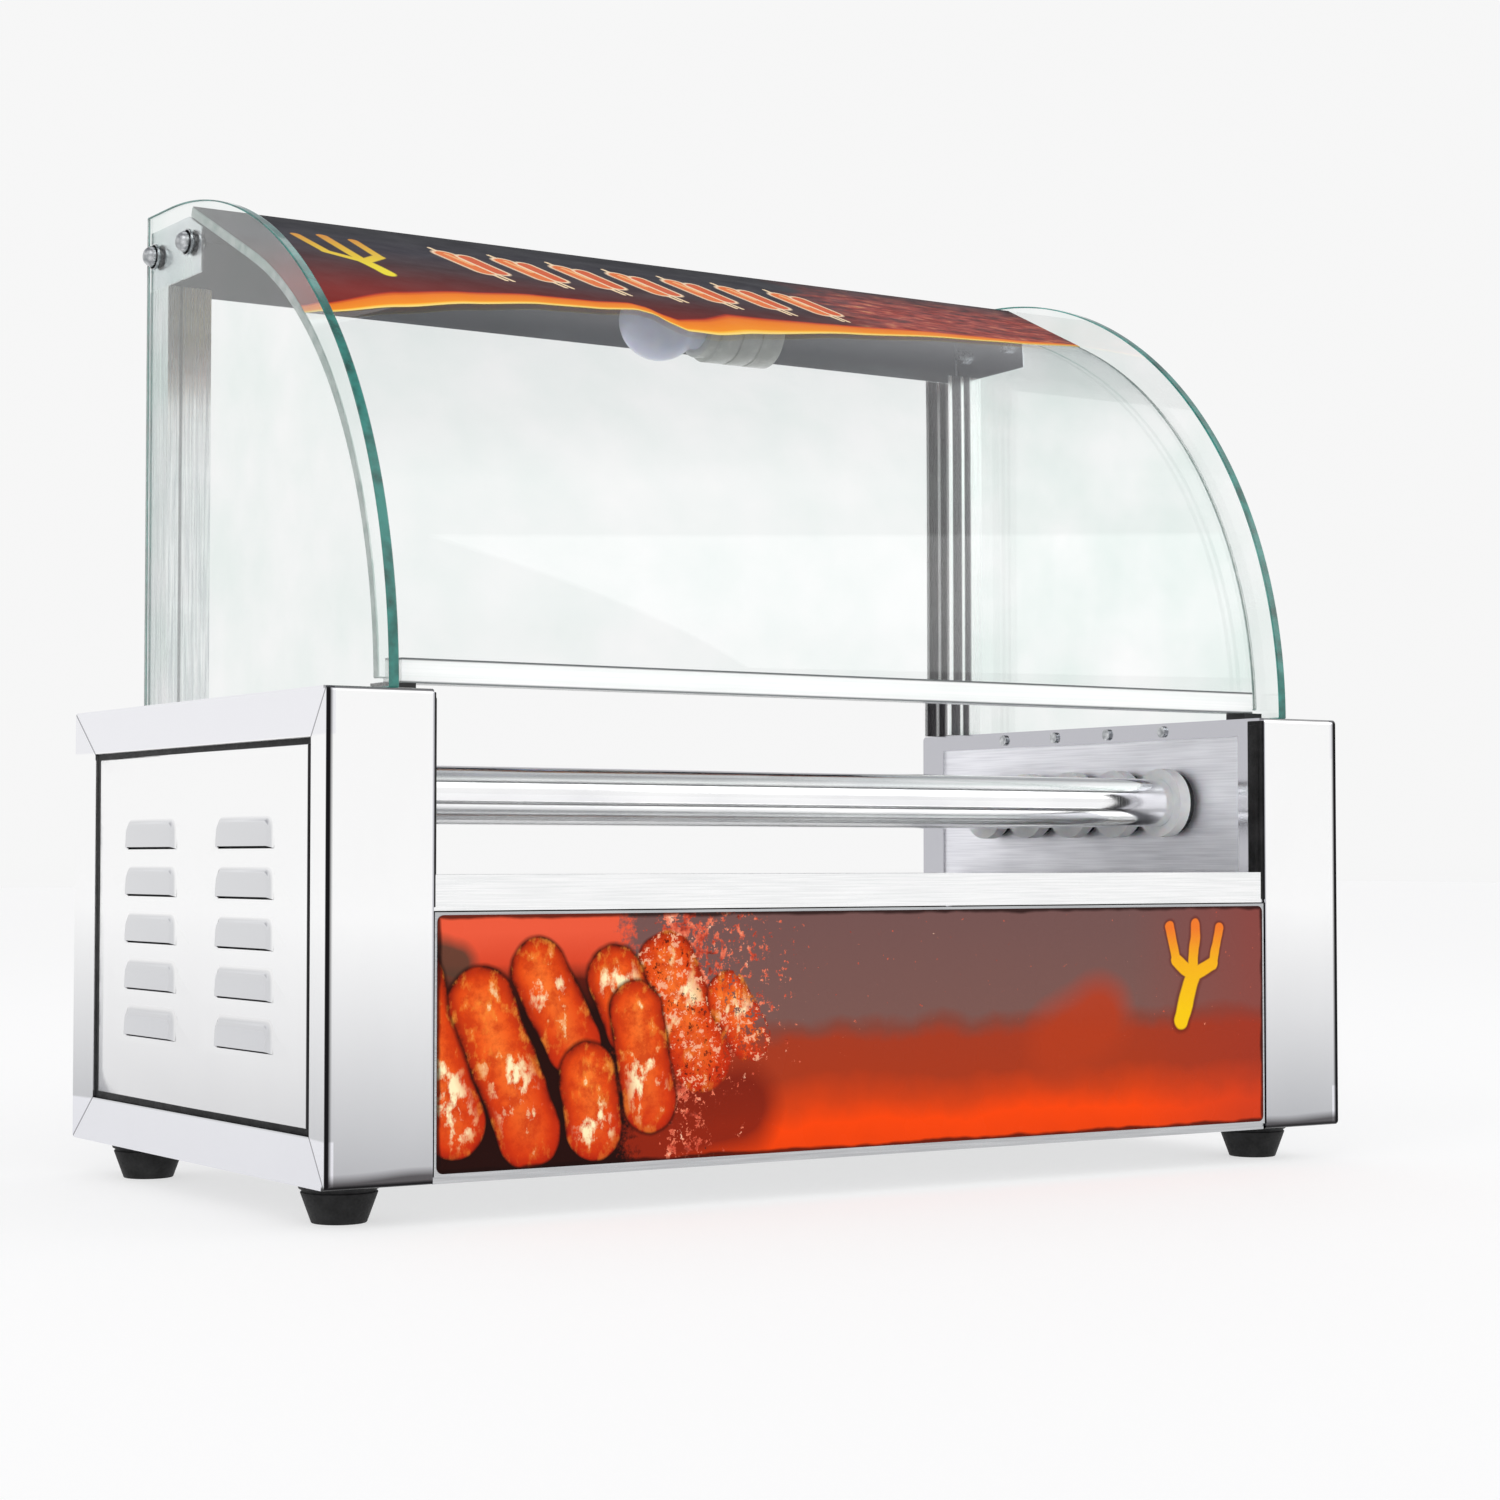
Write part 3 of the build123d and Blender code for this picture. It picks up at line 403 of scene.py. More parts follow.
def chrome_tube():
    """Hard chromed heating tube: a bright mirror with hair-fine turning lines round it."""
    material, add, shader = new_material("hard_chrome_tube", Metallic=1.0)
    place = object_place(add)
    rings = add("TexNoise", add("Mapping", place, Scale=(1, 0.02, 0.02)), 1000 / 0.6, 2)
    film = add("TexNoise", add("Mapping", place, Scale=(0.3, 1, 1)), 1000 / 22, 3)
    link(add("ValToRGB", film, stops=[(0.3, "#efeff1"), (0.7, "#ffffff")]), shader, "Base Color")
    link(add("MapRange", rings, 0.3, 0.7, 0.07, 0.16), shader, "Roughness")
    link(add("Bump", 0.25, 0.006 * MM, Height=rings), shader, "Normal")
    return material


def clouded(name, codes, cloud, rough=None, relief=None, span=(0.3, 0.8), gloss=(0.3, 0.7), **constants):
    """A finish whose colour and gloss drift together, with a fine relief where it has one.

    Cloud is a size in mm and a detail; relief is a size in mm, a detail, a depth in mm and a strength.
    """
    material, add, shader = new_material(name, **constants)
    place = object_place(add)
    drift = add("TexNoise", place, 1000 / cloud[0], cloud[1])
    link(add("ValToRGB", drift, stops=list(zip(span, codes))), shader, "Base Color")
    if rough:
        link(add("MapRange", drift, *gloss, *rough), shader, "Roughness")
    if relief:
        grain = add("TexNoise", place, 1000 / relief[0], relief[1])
        link(add("Bump", relief[3], relief[2] * MM, Height=grain), shader, "Normal")
    return material


def rubber(name, colour, dust):
    """Moulded rubber: matt, a little dusty in its pores."""
    material, add, shader = new_material(name, Specular_IOR_Level=0.3)
    place = object_place(add)
    pores = add("TexNoise", place, 1000 / 1.2, 3)
    link(add("ValToRGB", add("TexNoise", place, 1000 / 9, 3), stops=[(0.35, colour), (0.85, dust)]), shader,
         "Base Color")
    link(add("MapRange", pores, 0.3, 0.7, 0.55, 0.75), shader, "Roughness")
    link(add("Bump", 0.5, 0.12 * MM, Height=pores), shader, "Normal")
    return material


def crystalline(name, colour, shade):
    """Plated, cast or heated metal: small crystals of a light and a dark tone."""
    material, add, shader = new_material(name, Metallic=1.0)
    crystals = add("TexVoronoi", object_place(add), 1000 / 2.5)
    link(add("ValToRGB", crystals, stops=[(0.1, colour), (0.9, shade)]), shader, "Base Color")
    link(add("MapRange", crystals, 0.0, 0.8, 0.2, 0.34), shader, "Roughness")
    return material


FOOT_SHADE_HEIGHT = 220 * MM      # over which the painted shade at the foot of polished steel fades out
FLANGE = 21 * MM
COVER_FACE = high("right_side_cover").x - 3 * MM
# painted shade in the folds of the polished sheet
PAINTED_FOLD_SHADE = "#1b1a1c"
MOULDING = {"cloud": (12, 3), "relief": (0.7, 2, 0.05, 0.25), "Specular_IOR_Level": 0.45}
SPRAY = {"cloud": (30, 2), "relief": (2.5, 2, 0.08, 0.3), "Coat_Weight": 0.3, "Coat_Roughness": 0.1}
FLOAT_GLASS = {"cloud": (45, 3), "rough": (0.0, 0.03), "span": (0.3, 0.75), "gloss": (0.45, 0.8), "IOR": 1.52,
               "Transmission_Weight": 1.0}
CUT_GLASS = {"cloud": (9, 3), "Roughness": 0.12, "span": (0.3, 0.62), "IOR": 1.52,
             "Transmission_Weight": 0.35, "Coat_Weight": 0.6, "Coat_Roughness": 0.05}

# mirror-polished sheet of the casings and of their covers, with painted shade at the foot
STEEL = mirror_steel("mirror_polished_stainless", "#b2b3b7", casing_marks)
COVER_STEEL = mirror_steel("mirror_polished_stainless_cover", "#cfcfd1", cover_marks)
# ground sheet of the panels, the brighter tray, and the rolled plate that carries the tubes
SATIN = satin_steel("satin_ground_stainless", "#c6c8ca", "#8d8f92")
TRAY_STEEL = satin_steel("pressed_tray_stainless", "#ffffff", "#d3d7d7", rough=(0.16, 0.28))
PLATE_STEEL = satin_steel("rolled_plate_stainless", "#fafaff", "#d4d4da", (1, 0.02, 1), (0.42, 0.55))
POST = folded_post()
TUBE = chrome_tube()
# float glass, a slight green cast on its faces and a deep sea green in its polished edge
GLASS = clouded("tempered_float_glass", ("#eef6f3", "#ffffff"), **FLOAT_GLASS)
BENT_GLASS = clouded("bent_float_glass", ("#f2f8f6", "#ffffff"), **FLOAT_GLASS)
EDGE = clouded("polished_glass_edge", ("#07594f", "#2f9c90"), **CUT_GLASS)
PALE_EDGE = clouded("ground_glass_edge", ("#8fb5ac", "#dcebe6"), **CUT_GLASS)
# injection mouldings with a fine spark-eroded grain
BLACK = clouded("black_moulded_phenolic", ("#0c0c0d", "#1f1f21"), rough=(0.37, 0.5), **MOULDING)
RED_ROCKER = clouded("red_moulded_nylon", ("#8f0d0a", "#b5211a"), rough=(0.25, 0.38), **MOULDING)
WHITE_PRINT = clouded("white_dial_print", ("#d9d9d6", "#f2f2f0"), rough=(0.35, 0.48), **MOULDING)
# moulded feet, and black strips standing as painted shade in the cover gaps and on the pillar folds; a dark rubber
# for the rings behind the bushes and for the sheet standing as painted shade behind the louvres
RUBBER = rubber("moulded_black_rubber", "#0b0b0c", "#2a2a2b")
SHADE_AND_RING_RUBBER = rubber("dark_ring_and_shade_rubber", "#1c1d1f", "#3a3c3e")
# white PTFE bush: waxy, faintly see-through, marked by a little fat
PTFE = clouded("turned_ptfe", ("#ffffff", "#ececf2"), (8, 3), (0.28, 0.42), span=(0.3, 0.85),
               Subsurface_Weight=0.25, Subsurface_Scale=0.003, Specular_IOR_Level=0.35)
# zinc plate, oiled chain, heat-tinted rods and the cast gearbox
ZINC = crystalline("zinc_plated_steel", "#d5d7d9", "#8f9295")
DARK_STEEL = crystalline("oiled_chain_steel", "#5b5b5d", "#2f2f31")
HEATER = crystalline("heat_tinted_steel", "#8a7d6c", "#4f4a47")
CAST = crystalline("die_cast_aluminium", "#b3b5b7", "#85878a")
# sprayed enamel with a slight orange peel, and the lens of an indicator
MOTOR_PAINT = clouded("black_motor_enamel", ("#121316", "#1e2024"), rough=(0.35, 0.45), **SPRAY)
AMBER = clouded("amber_indicator_lens", ("#d2600c", "#f08a1e"), rough=(0.12, 0.22), **SPRAY)
# glazed white porcelain of the lamp holder
PORCELAIN = clouded("glazed_porcelain", ("#a3a69d", "#c6c8c0"), (14, 3), (0.15, 0.3),
                    Coat_Weight=0.4, Coat_Roughness=0.08)
# frosted glass envelope: milky, with a cool lavender cast
BULB = clouded("frosted_bulb_glass", ("#ccd3f4", "#e6eaff"), (16, 2), (0.25, 0.38),
               Subsurface_Weight=0.4, Subsurface_Scale=0.01, Coat_Weight=0.5, Coat_Roughness=0.12)


# ---------------------------------------------------------------- camera, floor, light
def make_camera():
    """The viewpoint of a person of counter height, in front and to the left."""
    data = bpy.data.cameras.new("camera")
    camera = bpy.data.objects.new("camera", data)
    bpy.context.scene.collection.objects.link(camera)
    data.lens = 71.0
    data.sensor_width = 36.0
    data.clip_start = 0.01
    camera.location = (-0.8186, -1.2832, 0.1564)
    camera.rotation_euler = (math.radians(92.13), 0, math.radians(-33.12))
    bpy.context.scene.camera = camera


def make_stage():
    """A pale floor, a pale room and large soft lights."""
    deselect()
    bpy.ops.mesh.primitive_plane_add(size=30, location=(0, 0, 0))
    floor = settle(bpy.context.object, "floor")
    material, _, _ = new_material("pale_studio_floor", Roughness=0.9, Base_Color=linear("#a8a8a8"),
                                  Emission_Color=linear("#f5f5f5"), Emission_Strength=0.66)
    dress(floor, material)
    world = bpy.data.worlds.new("studio")
    bpy.context.scene.world = world
    world.use_nodes = True
    add = partial(node, world.node_tree)
    direction = add("TexCoord", out="Generated")
    _, depth, height = add("SeparateXYZ", direction, out=all)
    tone = add("ValToRGB", add("MapRange", height, -1, 1),
               stops=[(0.0, "#909090"), (0.5, "#e8e8e8"), (0.64, "#e8e8e8"), (0.69, "#ffffff"),
                      (0.87, "#ffffff"), (0.93, "#a9a9ac"), (1.0, "#9c9ca0")])
    # the rear of the room is darker above head height
    behind = add("Math", add("MapRange", depth, 0.0, 0.35), add("MapRange", height, 0.34, 0.44, 0, 0.95),
                 operation="MULTIPLY")
    tone = add("Mix", behind, tone, "#a6a6aa", data_type="RGBA")
    background = world.node_tree.nodes["Background"]
    link(tone, background, "Color")
    background.inputs["Strength"].default_value = 1.15
    for name, place, target, size, power in (
        ("key", (-1.6, -1.4, 2.2), (0, 0, 0.2), 1.6, 9),
        ("fill", (1.8, -1.8, 1.4), (0, 0, 0.2), 1.4, 4),
        ("rear", (0.2, 1.0, 2.8), (0, 0, 0.3), 1.6, 6),
    ):
        data = bpy.data.lights.new(name, "AREA")
        data.size = size
        data.energy = power
        light = bpy.data.objects.new(name, data)
        bpy.context.scene.collection.objects.link(light)
        light.location = place
        light.rotation_euler = (Vector(target) - Vector(place)).to_track_quat("-Z", "Y").to_euler()
    bpy.context.scene.view_settings.view_transform = "Standard"


# ---------------------------------------------------------------- printed films
# sausages of the front print: two ends of the axis, half thickness (mm), and where a glint sits along it
SAUSAGES = [
    ((-122.6, 109.3), (-104.1, 67.0), 15.5, 0.3, True),
    ((-90.4, 94.9), (-77.7, 75.5), 11.5, 0.5, True),
    ((-149.3, 104.7), (-139.7, 82.8), 14.0, 0.1, False),
    ((-138.5, 88.9), (-131.2, 48.3), 13.5, 0.75, False),
    ((-188.2, 108.7), (-170.6, 75.6), 13.5, 0.3, False),
    ((-163.5, 62.1), (-160.0, 38.3), 14.0, 0.95, False),
    ((-250.1, 106.9), (-229.1, 42.8), 14.5, 0.85, False),
    ((-216.3, 95.2), (-192.7, 37.9), 15.5, 0.75, False),
]
# the fork marks, as strokes: two ends and half thickness (mm)
FRONT_FORK = [((182, 75), (190, 98), 4.6), ((190, 98), (192, 124), 3.0), ((190, 98), (179, 106), 3.4),
              ((179, 106), (175, 123), 2.9), ((190, 98), (203, 104), 3.4), ((203, 104), (208, 121), 2.9)]
CANOPY_FORK = [((-192, 254), (-197, 272), 4.0), ((-197, 272), (-200, 318), 3.2),
               ((-197, 272), (-212, 284), 3.2),
               ((-212, 284), (-216, 314), 2.8), ((-197, 272), (-183, 286), 3.2),
               ((-183, 286), (-184, 316), 2.8)]
FAR = 9.0       # a distance beyond every stroke, in half thicknesses
PRINT_HALF, PRINT_LOW, PRINT_HIGH = 237.5, 22.2, 132.8
END_PLATE = high("light_housing").x


def flat_place(add, wobble_mm, wobble_size_mm):
    """Place on a print in millimetres, across and up, with outlines that wander like ink."""
    place = object_place(add)
    flat = add("VectorMath", place, (1000, 0, 1000), operation="MULTIPLY")
    plane = add("Mapping", place, Scale=(1, 0, 1))
    drift = add("TexNoise", plane, 1000 / wobble_size_mm, out="Color")
    centred = add("VectorMath", drift, (0.5, 0.5, 0.5), operation="SUBTRACT")
    shift = add("VectorMath", centred, (2 * wobble_mm, 0, 2 * wobble_mm), operation="MULTIPLY")
    return add("VectorMath", flat, shift, operation="ADD")


def stroke(add, place, start, end, thickness):
    """How far a place is from a line, over half its thickness, and how far along the line it is."""
    axis = Vector((end[0] - start[0], 0, end[1] - start[1]))
    offset = add("VectorMath", place, (start[0], 0, start[1]), operation="SUBTRACT")
    along = add("VectorMath", offset, axis.normalized(), operation="DOT_PRODUCT")
    reach = add("MapRange", along, 0, axis.length, 0, axis.length)
    foot = add("VectorMath", axis.normalized(), reach, operation="SCALE")
    away = add("VectorMath", offset, foot, operation="DISTANCE")
    return add("Math", away, thickness, operation="DIVIDE"), add("Math", along, axis.length, operation="DIVIDE")


def nearest(add, place, strokes):
    """How far a place is from the nearest of some strokes."""
    distance = FAR
    for start, end, thickness in strokes:
        away, _ = stroke(add, place, start, end, thickness)
        distance = add("Math", away, distance, operation="MINIMUM")
    return distance


def inside(add, distance, soft=0.04):
    """One within a stroke and nothing outside it, with a soft edge."""
    return add("MapRange", distance, 1.0 - soft, 1.0 + soft, 1.0, 0.0)


def grilled_print():
    """Front film: a glossy printed picture of grilled sausages that breaks into sparks over brick red."""
    material, add, shader = new_material("laminated_picture_film", Specular_IOR_Level=0.05)
    raw = object_place(add)
    place = flat_place(add, 1.6, 16)
    across, _, up = add("SeparateXYZ", place, out=all)
    coarse = add("TexNoise", raw, 1000 / 26, 3)
    char = add("TexNoise", raw, 1000 / 6.5, 5, 0.65)
    spark = add("TexNoise", raw, 1000 / 3.4, 4, 0.7)
    fat = add("TexNoise", add("Mapping", raw, Scale=(1.3, 1, 0.8)), 1000 / 8.5, 4, 0.62)

    # ground: hot red low down, brick over it, mauve brown at the top
    level = add("Math", up, add("Math", coarse, 14, operation="MULTIPLY"), operation="ADD")
    ground = add("ValToRGB", add("MapRange", level, 20, 150),
                 stops=[(0.0, "#e03f0c"), (0.16, "#f84608"), (0.24, "#d04014"), (0.33, "#a8391c"),
                        (0.45, "#a53a20"), (0.5, "#864538"), (0.55, "#7a5751"), (1.0, "#725250")])
    flare, _ = stroke(add, place, (104, 66), (128, 78), 24)
    ground = coats(add, ground, ("#b33c1c", flare, 0.45, 1.1, 0.9, 0.0))
    ember, _ = stroke(add, place, (-150, 34), (-84, 44), 22)
    ground = coats(add, ground, ("#7c2012", ember, 0.6, 1.2, 0.9, 0.0))
    redden = add("MapRange", across, 150, 230, 0.0, 0.45)
    ground = add("Mix", redden, ground, "#9a3328", data_type="RGBA")

    # behind the sausages: salmon red over a dark gap
    behind = add("ValToRGB", add("MapRange", up, 90, 125),
                 stops=[(0.0, "#260d0a"), (0.4, "#5a1a10"), (0.62, "#d8472a"), (1.0, "#ea5a3c")])
    left = add("Math", across, add("Math", spark, 40, operation="MULTIPLY"), operation="ADD")
    colour = add("Mix", add("MapRange", left, -128, -118, 1.0, 0.0), ground, behind, data_type="RGBA")
    corner, _ = stroke(add, place, (-236, 114), (-228, 112), 9)
    colour = coats(add, colour, ("#4b3d31", corner, 0.6, 1.3, 0.9, 0.0))

    # flecks that fly off to the right
    flying = add("Math", spark, add("MapRange", across, -118, -40, 0.13, -0.13), operation="ADD")
    flying = add("Math", flying, add("MapRange", up, 44, 70, -0.1, 0.0), operation="ADD")
    flying = add("Math", flying, add("MapRange", across, -142, -122, -0.4, 0.0), operation="ADD")
    colour = coats(add, colour, (add("ValToRGB", char, stops=[(0.3, "#3a1512"), (0.45, "#c94a34"),
                                                              (0.6, "#f08262"),
                                                              (0.72, "#fbd3b4")]), flying, 0.56, 0.58))

    # the sausages, back ones first
    for start, end, thickness, glint, broken in SAUSAGES:
        away, along = stroke(add, place, start, end, thickness)
        skin = add("ValToRGB", away, stops=[(0.0, "#f7742c"), (0.4, "#f05f1f"), (0.68, "#de4712"),
                                            (0.88, "#a92a0c"), (1.0, "#3c0f08")])
        skin = coats(add, skin, ("#c2330d", char, 0.42, 0.62, 0.0, 0.7), ("#f79a3a", fat, 0.53, 0.66, 0.0, 0.6),
                     ("#c92a10", along, 0.35, 1.15, 0.0, 0.45))
        near = add("MapRange", add("Math", add("Math", along, glint, operation="SUBTRACT"),
                                   operation="ABSOLUTE"), 0.0, 0.42, 0.17, 0.0)
        shine = add("Math", fat, near, operation="ADD")
        shine = add("Math", add("MapRange", shine, 0.62, 0.74), add("MapRange", away, 0.35, 0.85, 1.0, 0.0),
                    operation="MULTIPLY")
        skin = add("Mix", shine, skin, "#fff0bf", data_type="RGBA")
        cover = inside(add, away)
        if broken:
            skin = coats(add, skin, ("#f6b893", spark, 0.56, 0.6, 0.0, 0.8),
                         ("#35120f", spark, 0.36, 0.42, 0.85, 0.0))
            ragged = add("Math", spark, add("MapRange", across, -125, -72, 0.3, -0.02), operation="ADD")
            cover = add("Math", cover, add("MapRange", ragged, 0.47, 0.49), operation="MULTIPLY")
        else:
            rim = add("MapRange", away, 1.0, 1.14, 0.9, 0.0)
            colour = add("Mix", rim, colour, "#230b08", data_type="RGBA")
        colour = add("Mix", cover, colour, skin, data_type="RGBA")

    # a plain fork mark
    gold = add("ValToRGB", add("MapRange", up, 80, 122), stops=[(0.0, "#f7c813"), (0.6, "#f4b01d"),
                                                                (1.0, "#ef7a2c")])
    fork = nearest(add, place, FRONT_FORK)
    colour = coats(add, colour, ("#5c1d14", fork, 1.05, 1.6, 0.7, 0.0))
    colour = add("Mix", inside(add, fork, 0.1), colour, gold, data_type="RGBA")

    # dark cut edge of the film
    sides = add("Math", PRINT_HALF, add("Math", across, operation="ABSOLUTE"), operation="SUBTRACT")
    ends = add("Math", add("Math", up, PRINT_LOW, operation="SUBTRACT"),
               add("Math", PRINT_HIGH, up, operation="SUBTRACT"), operation="MINIMUM")
    edge = add("Math", sides, ends, operation="MINIMUM")
    colour = coats(add, colour, ("#1c0a08", edge, 0.9, 2.2, 0.85, 0.0))
    link(colour, shader, "Base Color")
    link(add("MapRange", coarse, 0.3, 0.7, 0.2, 0.32), shader, "Roughness")
    link(add("Bump", 0.3, 0.05 * MM, Height=add("TexNoise", raw, 1000 / 18, 2)), shader, "Normal")
    return material


def canopy_print():
    """Canopy film: navy black over maroon, a bright orange border, and a row of sausages on sticks."""
    material, add, shader = new_material("laminated_canopy_film", Specular_IOR_Level=0.05)
    raw = object_place(add)
    across = add("Math", add("SeparateXYZ", raw, out="X"), 1000, operation="MULTIPLY")
    chart = add("SeparateXYZ", add("TexCoord", out="UV"), out=all)
    edge = add("Math", chart[0], 1000, operation="MULTIPLY")       # from the wavy edge, mm
    climb = add("Math", chart[1], 1000, operation="MULTIPLY")      # along the bent sheet, mm
    grain = add("TexNoise", add("Mapping", raw, Scale=(0.35, 1, 1)), 1000 / 5, 4, 0.6)
    fat = add("TexNoise", add("Mapping", raw, Scale=(0.5, 1, 1)), 1000 / 12, 4, 0.62)
    ground = add("ValToRGB", add("MapRange", climb, 225, 345),
                 stops=[(0.0, "#7d1a12"), (0.22, "#571413"), (0.42, "#351319"), (0.65, "#1f1a28"),
                        (1.0, "#14161f")])
    flesh = add("ValToRGB", grain, stops=[(0.3, "#4a1614"), (0.45, "#8c3128"), (0.56, "#b54a3c"),
                                          (0.66, "#cf7a5a"), (0.76, "#e8b56a")])
    grill = add("MapRange", add("Math", across, add("Math", fat, 70, operation="MULTIPLY"), operation="ADD"),
                110, 150, 0.0, 0.85)
    colour = add("Mix", grill, ground, flesh, data_type="RGBA")
    colour = coats(add, colour, ("#101118", climb, 318, 348, 0.0, 0.9))

    # a row of small sausages on sticks, one shape repeated along the strip
    cell = 34.0
    repeat = add("Math", add("Math", across, 10 * cell + 144, operation="ADD"), cell, operation="MODULO")
    spot = add("CombineXYZ", X=repeat, Z=climb)
    row = add("Math", add("MapRange", across, -145, -143), add("MapRange", across, 92, 94, 1.0, 0.0),
              operation="MULTIPLY")
    for start, end, thickness, code in (
        ((5, 322), (23, 268), 1.3, "#f6d9b0"), ((9, 311), (18, 283), 7.5, "#f9d9b4"),
        ((9, 311), (18, 283), 5.6, "#e9742f"),
        ((10, 312), (16, 294), 1.5, "#f8b070"), ((15, 306), (27, 268), 1.2, "#f6d9b0"),
        ((20, 309), (27, 284), 6.0, "#f9d9b4"), ((20, 309), (27, 284), 4.2, "#d85a24"),
    ):
        away, _ = stroke(add, spot, start, end, thickness)
        colour = add("Mix", add("Math", row, inside(add, away, 0.12), operation="MULTIPLY"), colour, code,
                     data_type="RGBA")

    # a plain fork mark at the left
    mark = add("CombineXYZ", X=across, Z=climb)
    fork = nearest(add, mark, CANOPY_FORK)
    colour = add("Mix", inside(add, fork, 0.15), colour, add("ValToRGB", add("MapRange", climb, 262, 318),
                                                             stops=[(0.0, "#f3df25"),
                                                                    (1.0, "#d9902a")]), data_type="RGBA")

    width = add("ValToRGB", add("MapRange", across, -250, 250),
                stops=[(0.0, "#5c5c5c"), (0.1, "#8c8c8c"), (0.4, "#707070"), (0.5, "#b0b0b0"),
                       (0.62, "#8a8a8a"), (1.0, "#4a4a4a")])
    border = add("Math", edge, add("Math", width, 55, operation="MULTIPLY"), operation="DIVIDE")
    orange = add("ValToRGB", border, stops=[(0.0, "#ffe690"), (0.14, "#ffc23c"), (0.22, "#f7931e"),
                                            (0.75, "#ee7d16"), (1.0, "#c9380f")])
    colour = coats(add, colour, (orange, border, 0.95, 1.1, 1.0, 0.0))
    link(colour, shader, "Base Color")
    link(add("MapRange", fat, 0.3, 0.7, 0.3, 0.42), shader, "Roughness")
    return material


def clear_plastic():
    """Clear extruded acrylic of the glass rail: slightly milky, with drawn lines along it, a faint painted glow, and
    painted shade lines along its top and bottom edges.
    """
    # a faint painted glow: white emission over the whole rail
    material, add, shader = new_material(
        "clear_extruded_acrylic", IOR=1.49, Transmission_Weight=0.45, Specular_IOR_Level=0.5,
        Emission_Color=(1, 1, 1, 1), Emission_Strength=0.16
    )
    place = object_place(add)
    lines = add("TexNoise", add("Mapping", place, Scale=(0.01, 1, 1)), 1000 / 1.2, 2)
    clear = add("ValToRGB", lines, stops=[(0.35, "#f3f6f5"), (0.65, "#ffffff")])
    height = add("SeparateXYZ", place, out="Z")
    bottom, top = low("glass_rail").z, high("glass_rail").z
    # painted shade lines along the top and bottom edges, where the painted glow is taken away
    painted_rim_shade = add("MapRange", height, bottom + 0.6 * MM, bottom + 1.2 * MM, 1.0, 0.0)
    painted_rim_shade = add("Math", painted_rim_shade, add("MapRange", height, top - 1.2 * MM, top - 0.6 * MM), operation="MAXIMUM")
    link(add("Mix", painted_rim_shade, clear, "#7b8081", data_type="RGBA"), shader, "Base Color")
    link(add("MapRange", painted_rim_shade, 0, 1, 0.16, 0.0), shader, "Emission Strength")
    link(add("MapRange", lines, 0.3, 0.7, 0.08, 0.25), shader, "Roughness")
    return material


def slate_sheet():
    """Light housing: light steel end plates, and a channel whose inside is painted dark blue-grey and glossy, as
    painted shade.
    """
    material, add, shader = new_material("lamp_channel_painted_shade", Specular_IOR_Level=0.12)
    place = object_place(add)
    split = add("SeparateXYZ", place, out=all)
    across = add("Math", split[0], operation="ABSOLUTE")
    outside = add("MapRange", across, END_PLATE - 1.8 * MM, END_PLATE - 1.2 * MM)
    for axis in (1, 2):
        edge = high("light_housing")[axis]
        skin = add("MapRange", split[axis], edge - 0.7 * MM, edge - 0.4 * MM)
        outside = add("Math", outside, skin, operation="MAXIMUM")
    cloud = add("TexNoise", add("Mapping", place, Scale=(0.3, 1, 1)), 1000 / 30, 3)
    # painted shade inside the channel
    painted_channel_shade = add("ValToRGB", cloud, stops=[(0.3, "#2a3138"), (0.55, "#3a434b"), (0.8, "#69747e")])
    plate = add("ValToRGB", cloud, stops=[(0.3, "#dfe3e8"), (0.8, "#fbfcfd")])
    link(add("Mix", outside, painted_channel_shade, plate, data_type="RGBA"), shader, "Base Color")
    link(outside, shader, "Metallic")
    link(add("MapRange", cloud, 0.3, 0.7, 0.16, 0.3), shader, "Roughness")
    return material


PICTURE = grilled_print()
CANOPY = canopy_print()
ACRYLIC = clear_plastic()
CHANNEL = slate_sheet()


make_camera()
make_stage()

# ---------------------------------------------------------------- CAD pieces that keep their shape
FINISHES = {
    SATIN: ["front_panel", "rear_panel", "base_pan", "tray_runners"],
    PLATE_STEEL: ["left_roller_plate", "right_roller_plate"],
    TRAY_STEEL: ["drip_tray"],
    POST: ["left_rear_post", "right_rear_post"],
    CHANNEL: ["light_housing"],
    TUBE: [f"roller_{i}" for i in range(1, 6)],
    DARK_STEEL: [f"sprocket_{i}" for i in range(1, 6)] + ["drive_chain", "motor_sprocket", "motor_shaft"],
    HEATER: ["heater_rods", "heater_brackets"],
    ZINC: ["motor_bracket", "lamp_bracket", "edge_screws", "foot_screws", "hood_bolts"],
    CAST: ["gearbox"],
    MOTOR_PAINT: ["gear_motor"],
    PTFE: ["roller_bushes"],
    SHADE_AND_RING_RUBBER: ["bush_rings"],
    BLACK: ["thermostats", "switch_housings", "power_inlet", "terminal_block", "rail_clips"],
    RED_ROCKER: ["motor_rocker", "lamp_rocker"],
    AMBER: ["indicator_lamps"],
    ACRYLIC: ["glass_rail"],
    STEEL: ["left_end_casing", "right_end_casing"],
}
for finish, names in FINISHES.items():
    for name in names:
        dress(nodes[name], finish)


# ---------------------------------------------------------------- side covers
LOUVRE_LENGTH, LOUVRE_HEIGHT, LOUVRE_RISE = 59 * MM, 12 * MM, 2.7 * MM
COLUMN_PITCH, ROW_PITCH = 110.5 * MM, 22.5 * MM
COLUMNS, ROWS = 2, 5


